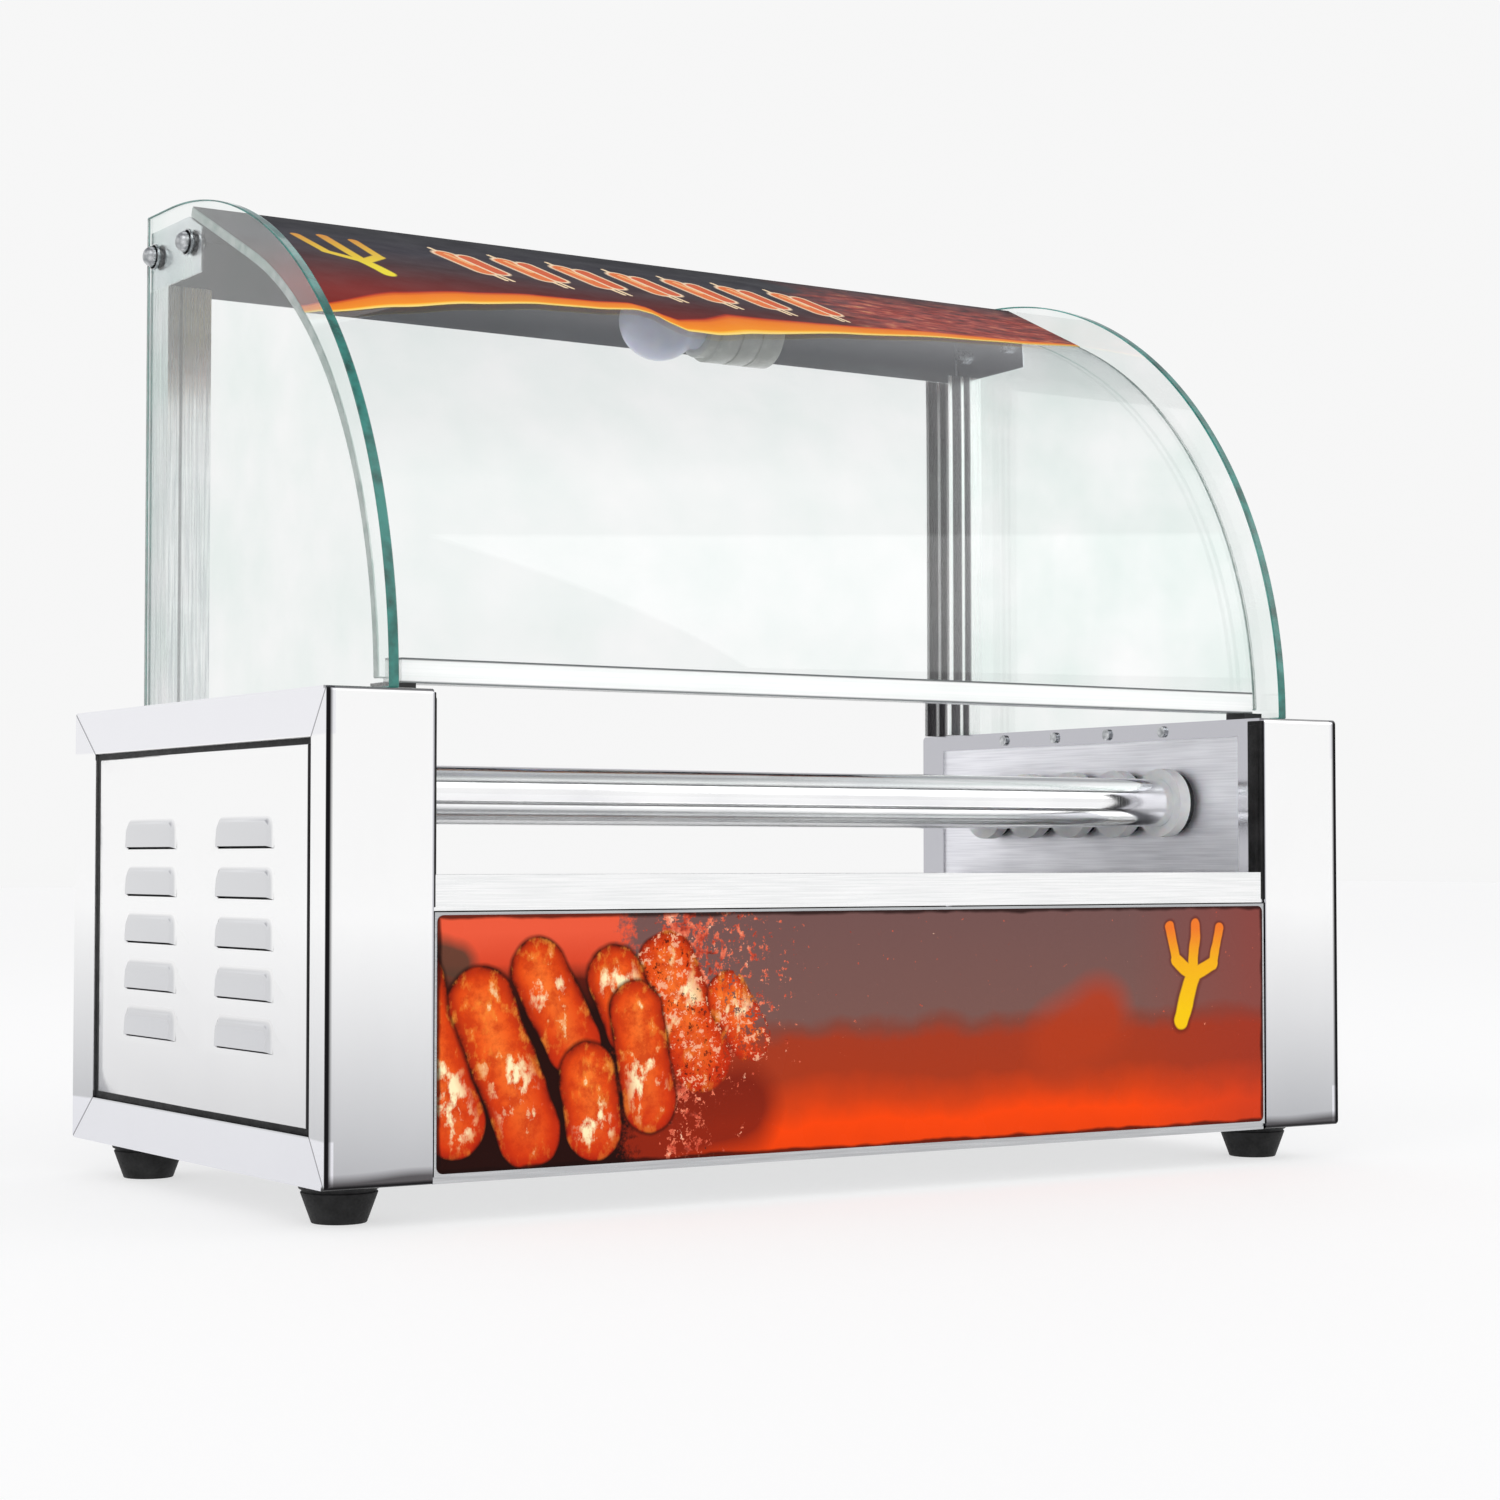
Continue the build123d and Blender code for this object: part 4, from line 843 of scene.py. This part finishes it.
def make_cover():
    """One side cover: a sheet with ten pressed louvres, open underneath, and a folded rim."""
    box_low, box_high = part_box("right_side_cover")
    centre = (box_low + box_high) / 2
    face = box_high.x - 3 * MM
    first = Vector((face, -COLUMN_PITCH * (COLUMNS - 1) / 2, centre.z - ROW_PITCH * (ROWS - 1) / 2))
    deselect()
    bpy.ops.mesh.primitive_plane_add(size=1, location=first, rotation=(0, math.pi / 2, 0))
    cell = bpy.context.object
    cell.scale = (ROW_PITCH, COLUMN_PITCH, 1)
    settle(cell, "right_cover_sheet")
    edit(cell)
    bpy.ops.mesh.select_all(action="SELECT")
    margin = 3 * MM
    bpy.ops.mesh.inset(thickness=margin)
    foot = (LOUVRE_LENGTH + 3 * MM) / (COLUMN_PITCH - 2 * margin)
    tall = (LOUVRE_HEIGHT + 3 * MM) / (ROW_PITCH - 2 * margin)
    bpy.ops.transform.resize(value=(1, foot, tall))
    top = first.z + (LOUVRE_HEIGHT + 3 * MM) / 2
    select("VERT", lambda v: abs(v.co.z - top) < 0.01 * MM)
    bpy.ops.mesh.bevel(offset=5 * MM, segments=5, affect="VERTICES")
    select("FACE", lambda f: len(f.verts) > 8 and max(v.co.z for v in f.verts) < top + 0.1 * MM)
    bpy.ops.mesh.extrude_region_move(TRANSFORM_OT_translate={"value": (LOUVRE_RISE, 0, 0)})
    bpy.ops.transform.resize(value=(1, (LOUVRE_LENGTH - 2 * MM) / (LOUVRE_LENGTH + 3 * MM), 1))
    raised = face + LOUVRE_RISE / 2
    select("VERT", lambda v: v.co.x > raised and v.co.z > first.z)
    bpy.ops.transform.translate(value=(-0.3 * MM, 0, -3.6 * MM))
    select("VERT", lambda v: v.co.x > raised and v.co.z < first.z - LOUVRE_HEIGHT / 2)
    bpy.ops.transform.translate(value=(0, 0, 1.1 * MM))
    select("FACE", lambda f: f.normal.z < -0.8)
    bpy.ops.mesh.delete(type="FACE")
    select("EDGE", lambda e: middle(e).x > face + 0.9 * LOUVRE_RISE - 0.3 * MM and not e.is_boundary)
    bpy.ops.mesh.bevel(offset=1.1 * MM, segments=4, affect="EDGES")
    done()
    for axis, pitch, count in ((1, COLUMN_PITCH, COLUMNS), (2, ROW_PITCH, ROWS)):
        shift = [0, 0, 0]
        shift[axis] = pitch
        modify(cell, "ARRAY", count=count, use_relative_offset=False, use_constant_offset=True,
               constant_offset_displace=shift, use_merge_vertices=True, merge_threshold=0.00005)
    half = Vector((0, (box_high.y - box_low.y) / 2 - 2 * MM, (box_high.z - box_low.z) / 2 - 1.2 * MM))
    inner_y, inner_z = COLUMN_PITCH * COLUMNS / 2, ROW_PITCH * ROWS / 2
    edit(cell)
    select("EDGE", lambda e: abs(abs(middle(e).y) - inner_y) < 0.1 * MM
           or abs(abs(middle(e).z - centre.z) - inner_z) < 0.1 * MM)
    bpy.ops.mesh.extrude_edges_move()
    bpy.ops.transform.resize(value=(1, half.y / inner_y, half.z / inner_z), center_override=(face, 0, centre.z))
    bpy.ops.mesh.extrude_edges_move(TRANSFORM_OT_translate={"value": (-0.9 * MM, 0, 0)})
    done()
    outwards(cell)
    edit(cell)
    select("EDGE", lambda e: abs(middle(e).x - face) < 0.01 * MM
           and (abs(abs(middle(e).y) - half.y) < 0.01 * MM or abs(abs(middle(e).z - centre.z) - half.z) < 0.01 * MM))
    bpy.ops.mesh.bevel(offset=0.6 * MM, segments=3, affect="EDGES")
    done()
    modify(cell, "SOLIDIFY", thickness=0.8 * MM, offset=-1)
    smooth(cell, 50)
    return dress(cell, COVER_STEEL)


def make_cover_gap_shade():
    """Black rubber strip that fills the gap between a cover and its frame, as painted shade in that gap."""
    box_low, box_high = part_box("right_side_cover")
    gap = 1.4 * MM
    gap_shade = cube("right_cover_gap_shade", (box_low.x - 0.9 * MM, box_low.y - gap, box_low.z - gap),
                (box_low.x + 0.8 * MM, box_high.y + gap, box_high.z + gap))
    edit(gap_shade)
    select("FACE", lambda f: abs(f.normal.x) > 0.9)
    bpy.ops.mesh.inset(thickness=gap + 3.5 * MM)
    bpy.ops.mesh.bridge_edge_loops()
    done()
    outwards(gap_shade)
    round_edges(gap_shade, 0.2 * MM, 2)
    return dress(smooth(gap_shade), RUBBER)


def make_cover_shade_backing():
    """Dark sheet close behind the louvres, as painted shade in their openings."""
    box_low, box_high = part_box("right_side_cover")
    margin = 9 * MM
    shade_backing = cube("right_cover_shade_backing", (box_low.x - 2.2 * MM, box_low.y + margin, box_low.z + margin),
                 (box_low.x - 1.2 * MM, box_high.y - margin, box_high.z - margin))
    return dress(round_edges(shade_backing, 0.3 * MM, 2), SHADE_AND_RING_RUBBER)


for piece, twin in ((make_cover(), "left_cover_sheet"), (make_cover_gap_shade(), "left_cover_gap_shade"),
                    (make_cover_shade_backing(), "left_cover_shade_backing")):
    other = mirrored(piece, twin)
    for thing, end in ((piece, "right"), (other, "left")):
        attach(thing, "root")
        if "sheet" in thing.name:
            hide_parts(f"{end}_side_cover")


# ---------------------------------------------------------------- painted shade strips in the mouth of the grill
def make_pillar_shade_strip():
    """Black strip on the inner fold of a pillar, with a narrow lip, as painted shade on that fold."""
    tray_top, top = high("drip_tray").z, high("right_roller_plate").z
    shade_strip = cube("right_pillar_shade_strip", (INNER_X - 1.6 * MM, FRONT + 1.2 * MM, tray_top - 14 * MM),
                (INNER_X + 0.2 * MM, FRONT + 11 * MM, top))
    edit(shade_strip)
    select("FACE", lambda f: f.normal.x < -0.9)
    bpy.ops.mesh.inset(thickness=2.2 * MM)
    bpy.ops.mesh.extrude_region_move(TRANSFORM_OT_translate={"value": (-1.4 * MM, 0, 0)})
    done()
    round_edges(shade_strip, 0.4 * MM, 2)
    return dress(smooth(shade_strip), RUBBER)


right_shade_strip = make_pillar_shade_strip()
left_shade_strip = mirrored(right_shade_strip, "left_pillar_shade_strip")
for piece in (right_shade_strip, left_shade_strip):
    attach(piece, "root")


# ---------------------------------------------------------------- glass hood
def rim_material(piece, broad_test, edge):
    """Give every face that is not a broad face the edge finish."""
    piece.data.materials.append(edge)
    edit(piece)
    select("FACE", lambda f: not broad_test(f))
    piece.active_material_index = 1
    bpy.ops.object.material_slot_assign()
    done()


SEAL_LINE = 0.2 * MM        # a pane never quite touches the metal behind it


def make_side_glass():
    """A flat pane, quarter round in front, with ground and polished edges."""
    pane = cylinder("right_glass_pane", (GLASS_IN + SEAL_LINE, HOOD_Y, CASE_TOP), (GLASS_OUT, HOOD_Y, CASE_TOP),
                    HOOD_RADIUS, 320)
    edit(pane)
    for normal in ((0, 1, 0), (0, 0, -1)):
        bpy.ops.mesh.select_all(action="SELECT")
        bpy.ops.mesh.bisect(plane_co=(0, HOOD_Y, CASE_TOP), plane_no=normal, clear_outer=True, use_fill=True)
    select("FACE", lambda f: f.normal.y > 0.9)
    bpy.ops.mesh.extrude_region_move(TRANSFORM_OT_translate={"value": (0, HOOD_REAR - HOOD_Y, 0)})
    done()
    outwards(pane)
    edit(pane)
    bpy.ops.mesh.select_all(action="SELECT")
    bpy.ops.mesh.dissolve_limited(angle_limit=math.radians(0.05))
    done()
    round_edges(pane, 0.7 * MM, 3, 60)
    dress(pane, GLASS)
    rim_material(pane, lambda f: abs(f.normal.x) > 0.97, EDGE)
    return smooth(pane, 12)


right_pane = make_side_glass()
left_pane = mirrored(right_pane, "left_glass_pane")
for piece, end in ((right_pane, "right"), (left_pane, "left")):
    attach(piece, "root")
    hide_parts(f"{end}_side_glass")

GLASS_START = math.asin((low("front_glass").z - CASE_TOP) / FRONT_GLASS_RADIUS)
SWEEP = FRONT_GLASS_END - GLASS_START


def sheet_point(length, proud=0.0):
    """A place on the bent front glass, by its distance along the sheet and its height above it."""
    bend = FRONT_GLASS_RADIUS * FRONT_GLASS_END
    angle = min(length / FRONT_GLASS_RADIUS, FRONT_GLASS_END)
    radius = FRONT_GLASS_RADIUS + proud
    spare = max(0.0, length - bend)
    return (HOOD_Y - radius * math.cos(angle) + spare * math.sin(angle),
            CASE_TOP + radius * math.sin(angle) + spare * math.cos(angle))


def make_front_glass():
    """One sheet, bent to a quarter round and then straight to the top."""
    deselect()
    y, z = sheet_point(FRONT_GLASS_RADIUS * GLASS_START)
    inner = FRONT_GLASS_RADIUS - GLASS_THICKNESS
    bpy.ops.mesh.primitive_plane_add(size=1)
    pane = bpy.context.object
    edit(pane)
    corners = [sheet_point(FRONT_GLASS_RADIUS * GLASS_START, -GLASS_THICKNESS), (y, z)]
    mesh = bmesh.from_edit_mesh(pane.data)
    for vertex in mesh.verts:
        end = FRONT_GLASS_HALF if vertex.co.x > 0 else -FRONT_GLASS_HALF
        vertex.co = (end, *corners[int(vertex.co.y > 0)])
    bmesh.update_edit_mesh(pane.data)
    bpy.ops.mesh.select_all(action="SELECT")
    bpy.ops.mesh.spin(steps=72, angle=SWEEP, center=(0, HOOD_Y, CASE_TOP), axis=(1, 0, 0))
    top = sheet_point(FRONT_GLASS_RADIUS * FRONT_GLASS_END)
    select("FACE", lambda f: abs(f.calc_center_median().z - top[1]) < 5 * MM and abs(f.normal.x) < 0.1
           and abs(f.calc_area() - GLASS_THICKNESS * 2 * FRONT_GLASS_HALF) < 0.00001)
    bpy.ops.mesh.extrude_region_move(TRANSFORM_OT_translate={
        "value": (0, STRAIGHT * math.sin(FRONT_GLASS_END), STRAIGHT * math.cos(FRONT_GLASS_END))})
    done()
    pane.name = pane.data.name = "bent_front_glass"
    outwards(pane)
    round_edges(pane, 0.7 * MM, 3, 60)
    dress(pane, BENT_GLASS)

    bottom = low("front_glass").z
    tip = Vector((0, *sheet_point(FRONT_GLASS_RADIUS * FRONT_GLASS_END + STRAIGHT, -GLASS_THICKNESS / 2)))
    reach = Vector((0, math.sin(FRONT_GLASS_END), math.cos(FRONT_GLASS_END)))

    def broad(face):
        centre = face.calc_center_median()
        ends = centre.z < bottom + 0.8 * MM or (centre - tip).dot(reach) > -0.8 * MM
        return abs(face.normal.x) < 0.1 and not ends

    rim_material(pane, broad, PALE_EDGE)
    return smooth(pane, 12)


front_pane = make_front_glass()
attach(front_pane, "root")
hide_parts("front_glass")

# the film's lower edge: place across (mm) and angle round the bend (degrees)
FILM_EDGE = [(-253.5, 47.8), (-243, 48.6), (-202, 51.6), (-160, 54.6), (-117, 57), (-82, 57.7), (-58, 58.9),
             (-50, 58.0), (-45, 55.6), (-38, 53.9), (-20, 53.8), (8, 55.6), (74, 59.3), (149, 62.8),
             (202, 64.4),
             (253.5, 67.0)]


def film_edge(across):
    for (a, low_angle), (b, high_angle) in zip(FILM_EDGE, FILM_EDGE[1:]):
        if across <= b * MM:
            share = (across / MM - a) / (b - a)
            share = share * share * (3 - 2 * share) * 0.35 + share * 0.65
            return math.radians(low_angle + (high_angle - low_angle) * share)
    return math.radians(FILM_EDGE[-1][1])


def make_canopy():
    """Printed film laid on the bent glass, cut in a wave along its lower edge."""
    deselect()
    columns, rows = 240, 36
    bpy.ops.mesh.primitive_grid_add(x_subdivisions=columns, y_subdivisions=rows, size=1)
    film = bpy.context.object
    film.name = film.data.name = "printed_canopy"
    edit(film)
    mesh = bmesh.from_edit_mesh(film.data)
    chart = mesh.loops.layers.uv.active
    top = FRONT_GLASS_RADIUS * FRONT_GLASS_END + STRAIGHT - 0.4 * MM
    spread = {}
    for vertex in mesh.verts:
        across = vertex.co.x * 2 * (FRONT_GLASS_HALF - 0.3 * MM)
        start = FRONT_GLASS_RADIUS * film_edge(across)
        length = start + (vertex.co.y + 0.5) * (top - start)
        spread[vertex] = (length - start, length)
        vertex.co = (across, *sheet_point(length, 0.05 * MM))
    for face in mesh.faces:
        for loop in face.loops:
            loop[chart].uv = spread[loop.vert]
    bmesh.update_edit_mesh(film.data)
    bpy.ops.mesh.select_all(action="SELECT")
    bpy.ops.mesh.normals_make_consistent(inside=False)
    done()
    if film.data.polygons[0].normal.z < 0:
        turn_over(film)
    modify(film, "SOLIDIFY", thickness=0.25 * MM, offset=1)
    dress(film, CANOPY)
    return smooth(film, 40)


film = make_canopy()
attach(film, "root")
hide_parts("canopy_film")


# ---------------------------------------------------------------- printed front film
def make_front_film():
    film_low, film_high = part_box("front_graphic")
    sheet = cube("printed_front_film", film_low, film_high)
    edit(sheet)
    select("EDGE", lambda e: abs(e.verts[0].co.y - e.verts[1].co.y) > 0.2 * MM)
    bpy.ops.mesh.bevel(offset=3 * MM, segments=6, affect="EDGES")
    done()
    return dress(sheet, PICTURE)


front_film = make_front_film()
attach(front_film, "root")
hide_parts("front_graphic")


# ---------------------------------------------------------------- lamp
NECK = [(1.6, 0.93), (1.8, 0.93), (2, 0.945), (2.4, 0.96), (3, 0.98), (12, 1)]      # step in mm, and scale


LAMP_LOW, LAMP_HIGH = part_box("lamp_bulb")
LAMP_AXIS = (LAMP_LOW + LAMP_HIGH) / 2
BULB_RADIUS = (LAMP_HIGH.z - LAMP_LOW.z) / 2


def make_bulb():
    """Round frosted envelope that draws in to its neck."""
    deselect()
    centre = Vector((LAMP_LOW.x + BULB_RADIUS, LAMP_AXIS.y, LAMP_AXIS.z))
    bpy.ops.mesh.primitive_uv_sphere_add(segments=64, ring_count=48, radius=BULB_RADIUS, location=centre,
                                         rotation=(0, math.pi / 2, 0))
    bulb = settle(bpy.context.object, "frosted_lamp_bulb")
    edit(bulb)
    cut = centre.x + BULB_RADIUS * math.sin(math.radians(41))
    select("VERT", lambda v: v.co.x > cut)
    bpy.ops.mesh.delete(type="VERT")
    mesh = bmesh.from_edit_mesh(bulb.data)
    rim_x = max(v.co.x for v in mesh.verts)
    select("VERT", lambda v: v.co.x > rim_x - 0.01 * MM)
    for distance, scale in NECK:
        bpy.ops.mesh.extrude_edges_move(TRANSFORM_OT_translate={"value": (distance * MM, 0, 0)})
        bpy.ops.transform.resize(value=(1, scale, scale))
    bpy.ops.mesh.edge_face_add()
    done()
    return dress(smooth(bulb, 60), BULB)


def make_socket():
    """Porcelain holder: a stepped barrel with a collar and shallow grooves."""
    socket_low, socket_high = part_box("lamp_socket")
    axis_y, axis_z = (socket_low.y + socket_high.y) / 2, (socket_low.z + socket_high.z) / 2
    radius = (socket_high.z - socket_low.z) / 2
    start = (socket_low.x + 6 * MM, axis_y, axis_z)
    holder = cylinder("porcelain_lamp_holder", start, (socket_high.x, axis_y, axis_z), radius, 64)
    edit(holder)
    select("FACE", lambda f: f.normal.x < -0.9)
    bpy.ops.mesh.inset(thickness=2.2 * MM)
    bpy.ops.mesh.extrude_region_move(TRANSFORM_OT_translate={"value": (-6 * MM, 0, 0)})
    bpy.ops.mesh.inset(thickness=4.6 * MM)
    bpy.ops.mesh.extrude_region_move(TRANSFORM_OT_translate={"value": (9 * MM, 0, 0)})
    for place in (0.3, 0.62):
        x = socket_low.x + 6 * MM + place * (socket_high.x - socket_low.x - 6 * MM)
        for cut in (x, x + 1.6 * MM):
            bpy.ops.mesh.select_all(action="SELECT")
            bpy.ops.mesh.bisect(plane_co=(cut, 0, 0), plane_no=(1, 0, 0))
        select("FACE", lambda f: x < f.calc_center_median().x < x + 1.6 * MM and abs(f.normal.x) < 0.2
               and (f.calc_center_median() - Vector((f.calc_center_median().x, axis_y,
                                                     axis_z))).length > radius * 0.9)
        bpy.ops.mesh.extrude_region_shrink_fatten(TRANSFORM_OT_shrink_fatten={"value": -1 * MM})
    done()
    round_edges(holder, 0.5 * MM, 2)
    return dress(smooth(holder, 40), PORCELAIN)


for piece, name, slot in ((make_bulb(), "lamp_bulb", "bulb_glass"),
                          (make_socket(), "lamp_socket", "socket_ceramic")):
    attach(piece, "root")
    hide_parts(name)


# ---------------------------------------------------------------- dome nuts of the hood
def make_nut(bolt_y, bolt_z):
    """A dome nut on its washer, on the outside of the right pane."""
    outside = GLASS_OUT
    washer = cylinder("washer", (outside, bolt_y, bolt_z), (outside + 1 * MM, bolt_y, bolt_z), 6.2 * MM, 40)
    hexagon = cylinder("hexagon", (outside + 1 * MM, bolt_y, bolt_z), (outside + 3 * MM, bolt_y, bolt_z),
                       5.4 * MM, 6)
    round_edges(hexagon, 0.4 * MM, 2, 20)
    round_edges(washer, 0.25 * MM, 2)
    deselect()
    bpy.ops.mesh.primitive_uv_sphere_add(segments=32, ring_count=16, radius=4.2 * MM,
                                         location=(outside + 2.6 * MM, bolt_y, bolt_z))
    dome = settle(bpy.context.object, "dome")
    edit(dome)
    select("VERT", lambda v: v.co.x < outside + 2.5 * MM)
    bpy.ops.mesh.delete(type="VERT")
    rim = min(v.co.x for v in bmesh.from_edit_mesh(dome.data).verts)
    select("EDGE", lambda e: e.is_boundary and middle(e).x < rim + 1 * MM)
    bpy.ops.mesh.edge_face_add()
    bpy.ops.mesh.select_all(action="SELECT")
    bpy.ops.transform.resize(value=(0.8, 1, 1), center_override=(outside + 2.6 * MM, bolt_y, bolt_z))
    done()
    return smooth(join([washer, hexagon, dome], "dome_nut"), 35)


BOLT_Z = (low("hood_bolts").z + high("hood_bolts").z) / 2
REAR_BOLT_Y = high("hood_bolts").y - 6.5 * MM
FRONT_BOLT_Y = low("hood_bolts").y + 6.5 * MM
right_nuts = join([make_nut(REAR_BOLT_Y, BOLT_Z), make_nut(FRONT_BOLT_Y, BOLT_Z)], "right_dome_nuts")
outwards(right_nuts)
dress(right_nuts, ZINC)
left_nuts = mirrored(right_nuts, "left_dome_nuts")
for piece in (right_nuts, left_nuts):
    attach(piece, "root")


# ---------------------------------------------------------------- feet
GROOVE = (13.4, 14.6)       # heights of its two edges, mm


def make_foot(name):
    """Tapered rubber foot with a groove round it and a hollow sole."""
    foot_low, foot_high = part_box(name)
    x, y = (foot_low.x + foot_high.x) / 2, (foot_low.y + foot_high.y) / 2
    foot = cylinder(name.replace("foot", "rubber_foot"), (x, y, foot_low.z), (x, y, foot_high.z), 12 * MM, 64,
                    18.6 * MM)
    edit(foot)
    select("FACE", lambda f: f.normal.z < -0.9)
    bpy.ops.mesh.inset(thickness=3 * MM)
    bpy.ops.mesh.extrude_region_move(TRANSFORM_OT_translate={"value": (0, 0, 3.5 * MM)})
    bpy.ops.transform.resize(value=(0.8, 0.8, 1))
    for height in GROOVE:
        bpy.ops.mesh.select_all(action="SELECT")
        bpy.ops.mesh.bisect(plane_co=(0, 0, height * MM), plane_no=(0, 0, 1))
    select("FACE", lambda f: GROOVE[0] * MM < f.calc_center_median().z < GROOVE[1] * MM)
    bpy.ops.mesh.extrude_region_shrink_fatten(TRANSFORM_OT_shrink_fatten={"value": -0.8 * MM})
    done()
    round_edges(foot, 0.6 * MM, 3)
    return dress(smooth(foot, 40), RUBBER)


for name in [n for n in nodes if n.startswith("foot_") and n != "foot_screws"]:
    foot = make_foot(name)
    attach(foot, "root")
    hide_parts(name)

# ---------------------------------------------------------------- thermostat knobs and dials
PANEL_FACE = high("rear_panel").y
DIAL_NUMBERS = ("0", "50", "100", "150", "200", "250")
FIRST_MARK, LAST_MARK = math.radians(225), math.radians(-45)


def make_knob(end):
    """Fluted phenolic knob on a skirt, with a white pointer let into its face."""
    knob_low, knob_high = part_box(f"{end}_thermostat_knob")
    x, z = (knob_low.x + knob_high.x) / 2, (knob_low.z + knob_high.z) / 2
    back, radius = PANEL_FACE + 0.6 * MM, (knob_high.x - knob_low.x) / 2
    knob = cylinder(f"{end}_fluted_knob", (x, back, z), (x, back + 3 * MM, z), radius, 72)
    edit(knob)
    select("FACE", lambda f: f.normal.y > 0.9)
    bpy.ops.mesh.inset(thickness=3.2 * MM)
    bpy.ops.mesh.extrude_region_move(TRANSFORM_OT_translate={"value": (0, knob_high.y - back - 3.2 * MM, 0)})
    bpy.ops.transform.resize(value=(0.93, 1, 0.93))

    def flute(face):
        centre = face.calc_center_median()
        turn = math.degrees(math.atan2(centre.z - z, centre.x - x)) % 15
        return centre.y > back + 4 * MM and abs(face.normal.y) < 0.5 and turn < 6

    select("FACE", flute)
    bpy.ops.mesh.extrude_region_shrink_fatten(TRANSFORM_OT_shrink_fatten={"value": -0.9 * MM})
    done()
    round_edges(knob, 0.35 * MM, 2, 25)
    dress(smooth(knob, 40), BLACK)
    face = knob_high.y
    pointer = cube(f"{end}_pointer", (x - 0.9 * MM, face - 0.5 * MM, z + 2 * MM),
                   (x + 0.9 * MM, face, z + 12 * MM))
    round_edges(pointer, 0.2 * MM, 2)
    dress(pointer, WHITE_PRINT)
    return [knob, pointer]


def make_dial(end):
    """Printed ring of ticks and numbers on the panel round one knob."""
    knob_low, knob_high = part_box(f"{end}_thermostat_knob")
    x, z = (knob_low.x + knob_high.x) / 2, (knob_low.z + knob_high.z) / 2
    ink = PANEL_FACE + 0.15 * MM
    parts = []
    for step in range(11):
        turn = FIRST_MARK + (LAST_MARK - FIRST_MARK) * step / 10
        length = 3 * MM if step % 2 == 0 else 1.8 * MM
        tick = cube("tick", (19.2 * MM, PANEL_FACE, -0.25 * MM), (19.2 * MM + length, ink, 0.25 * MM))
        tick.rotation_euler = (0, math.pi + turn, 0)
        tick.location = (x, 0, z)
        parts.append(settle(tick, "tick"))
        if step % 2 == 0:
            deselect()
            spot = (x - 25.5 * MM * math.cos(turn), PANEL_FACE + 0.05 * MM, z + 24.5 * MM * math.sin(turn))
            bpy.ops.object.text_add(location=spot, rotation=(math.pi / 2, 0, math.pi))
            number = bpy.context.object
            number.data.body = DIAL_NUMBERS[step // 2]
            number.data.size = 4.6 * MM
            number.data.extrude = 0.05 * MM
            number.data.align_x = number.data.align_y = "CENTER"
            bpy.ops.object.convert(target="MESH")
            parts.append(settle(bpy.context.object, "number"))
    dial = join(parts, f"{end}_dial_print")
    return dress(dial, BLACK)


for end in ("left", "right"):
    knob, pointer = make_knob(end)
    for piece in (knob, pointer):
        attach(piece, f"{end}_knob")
    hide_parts(f"{end}_thermostat_knob")
    dial = make_dial(end)
    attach(dial, "root")
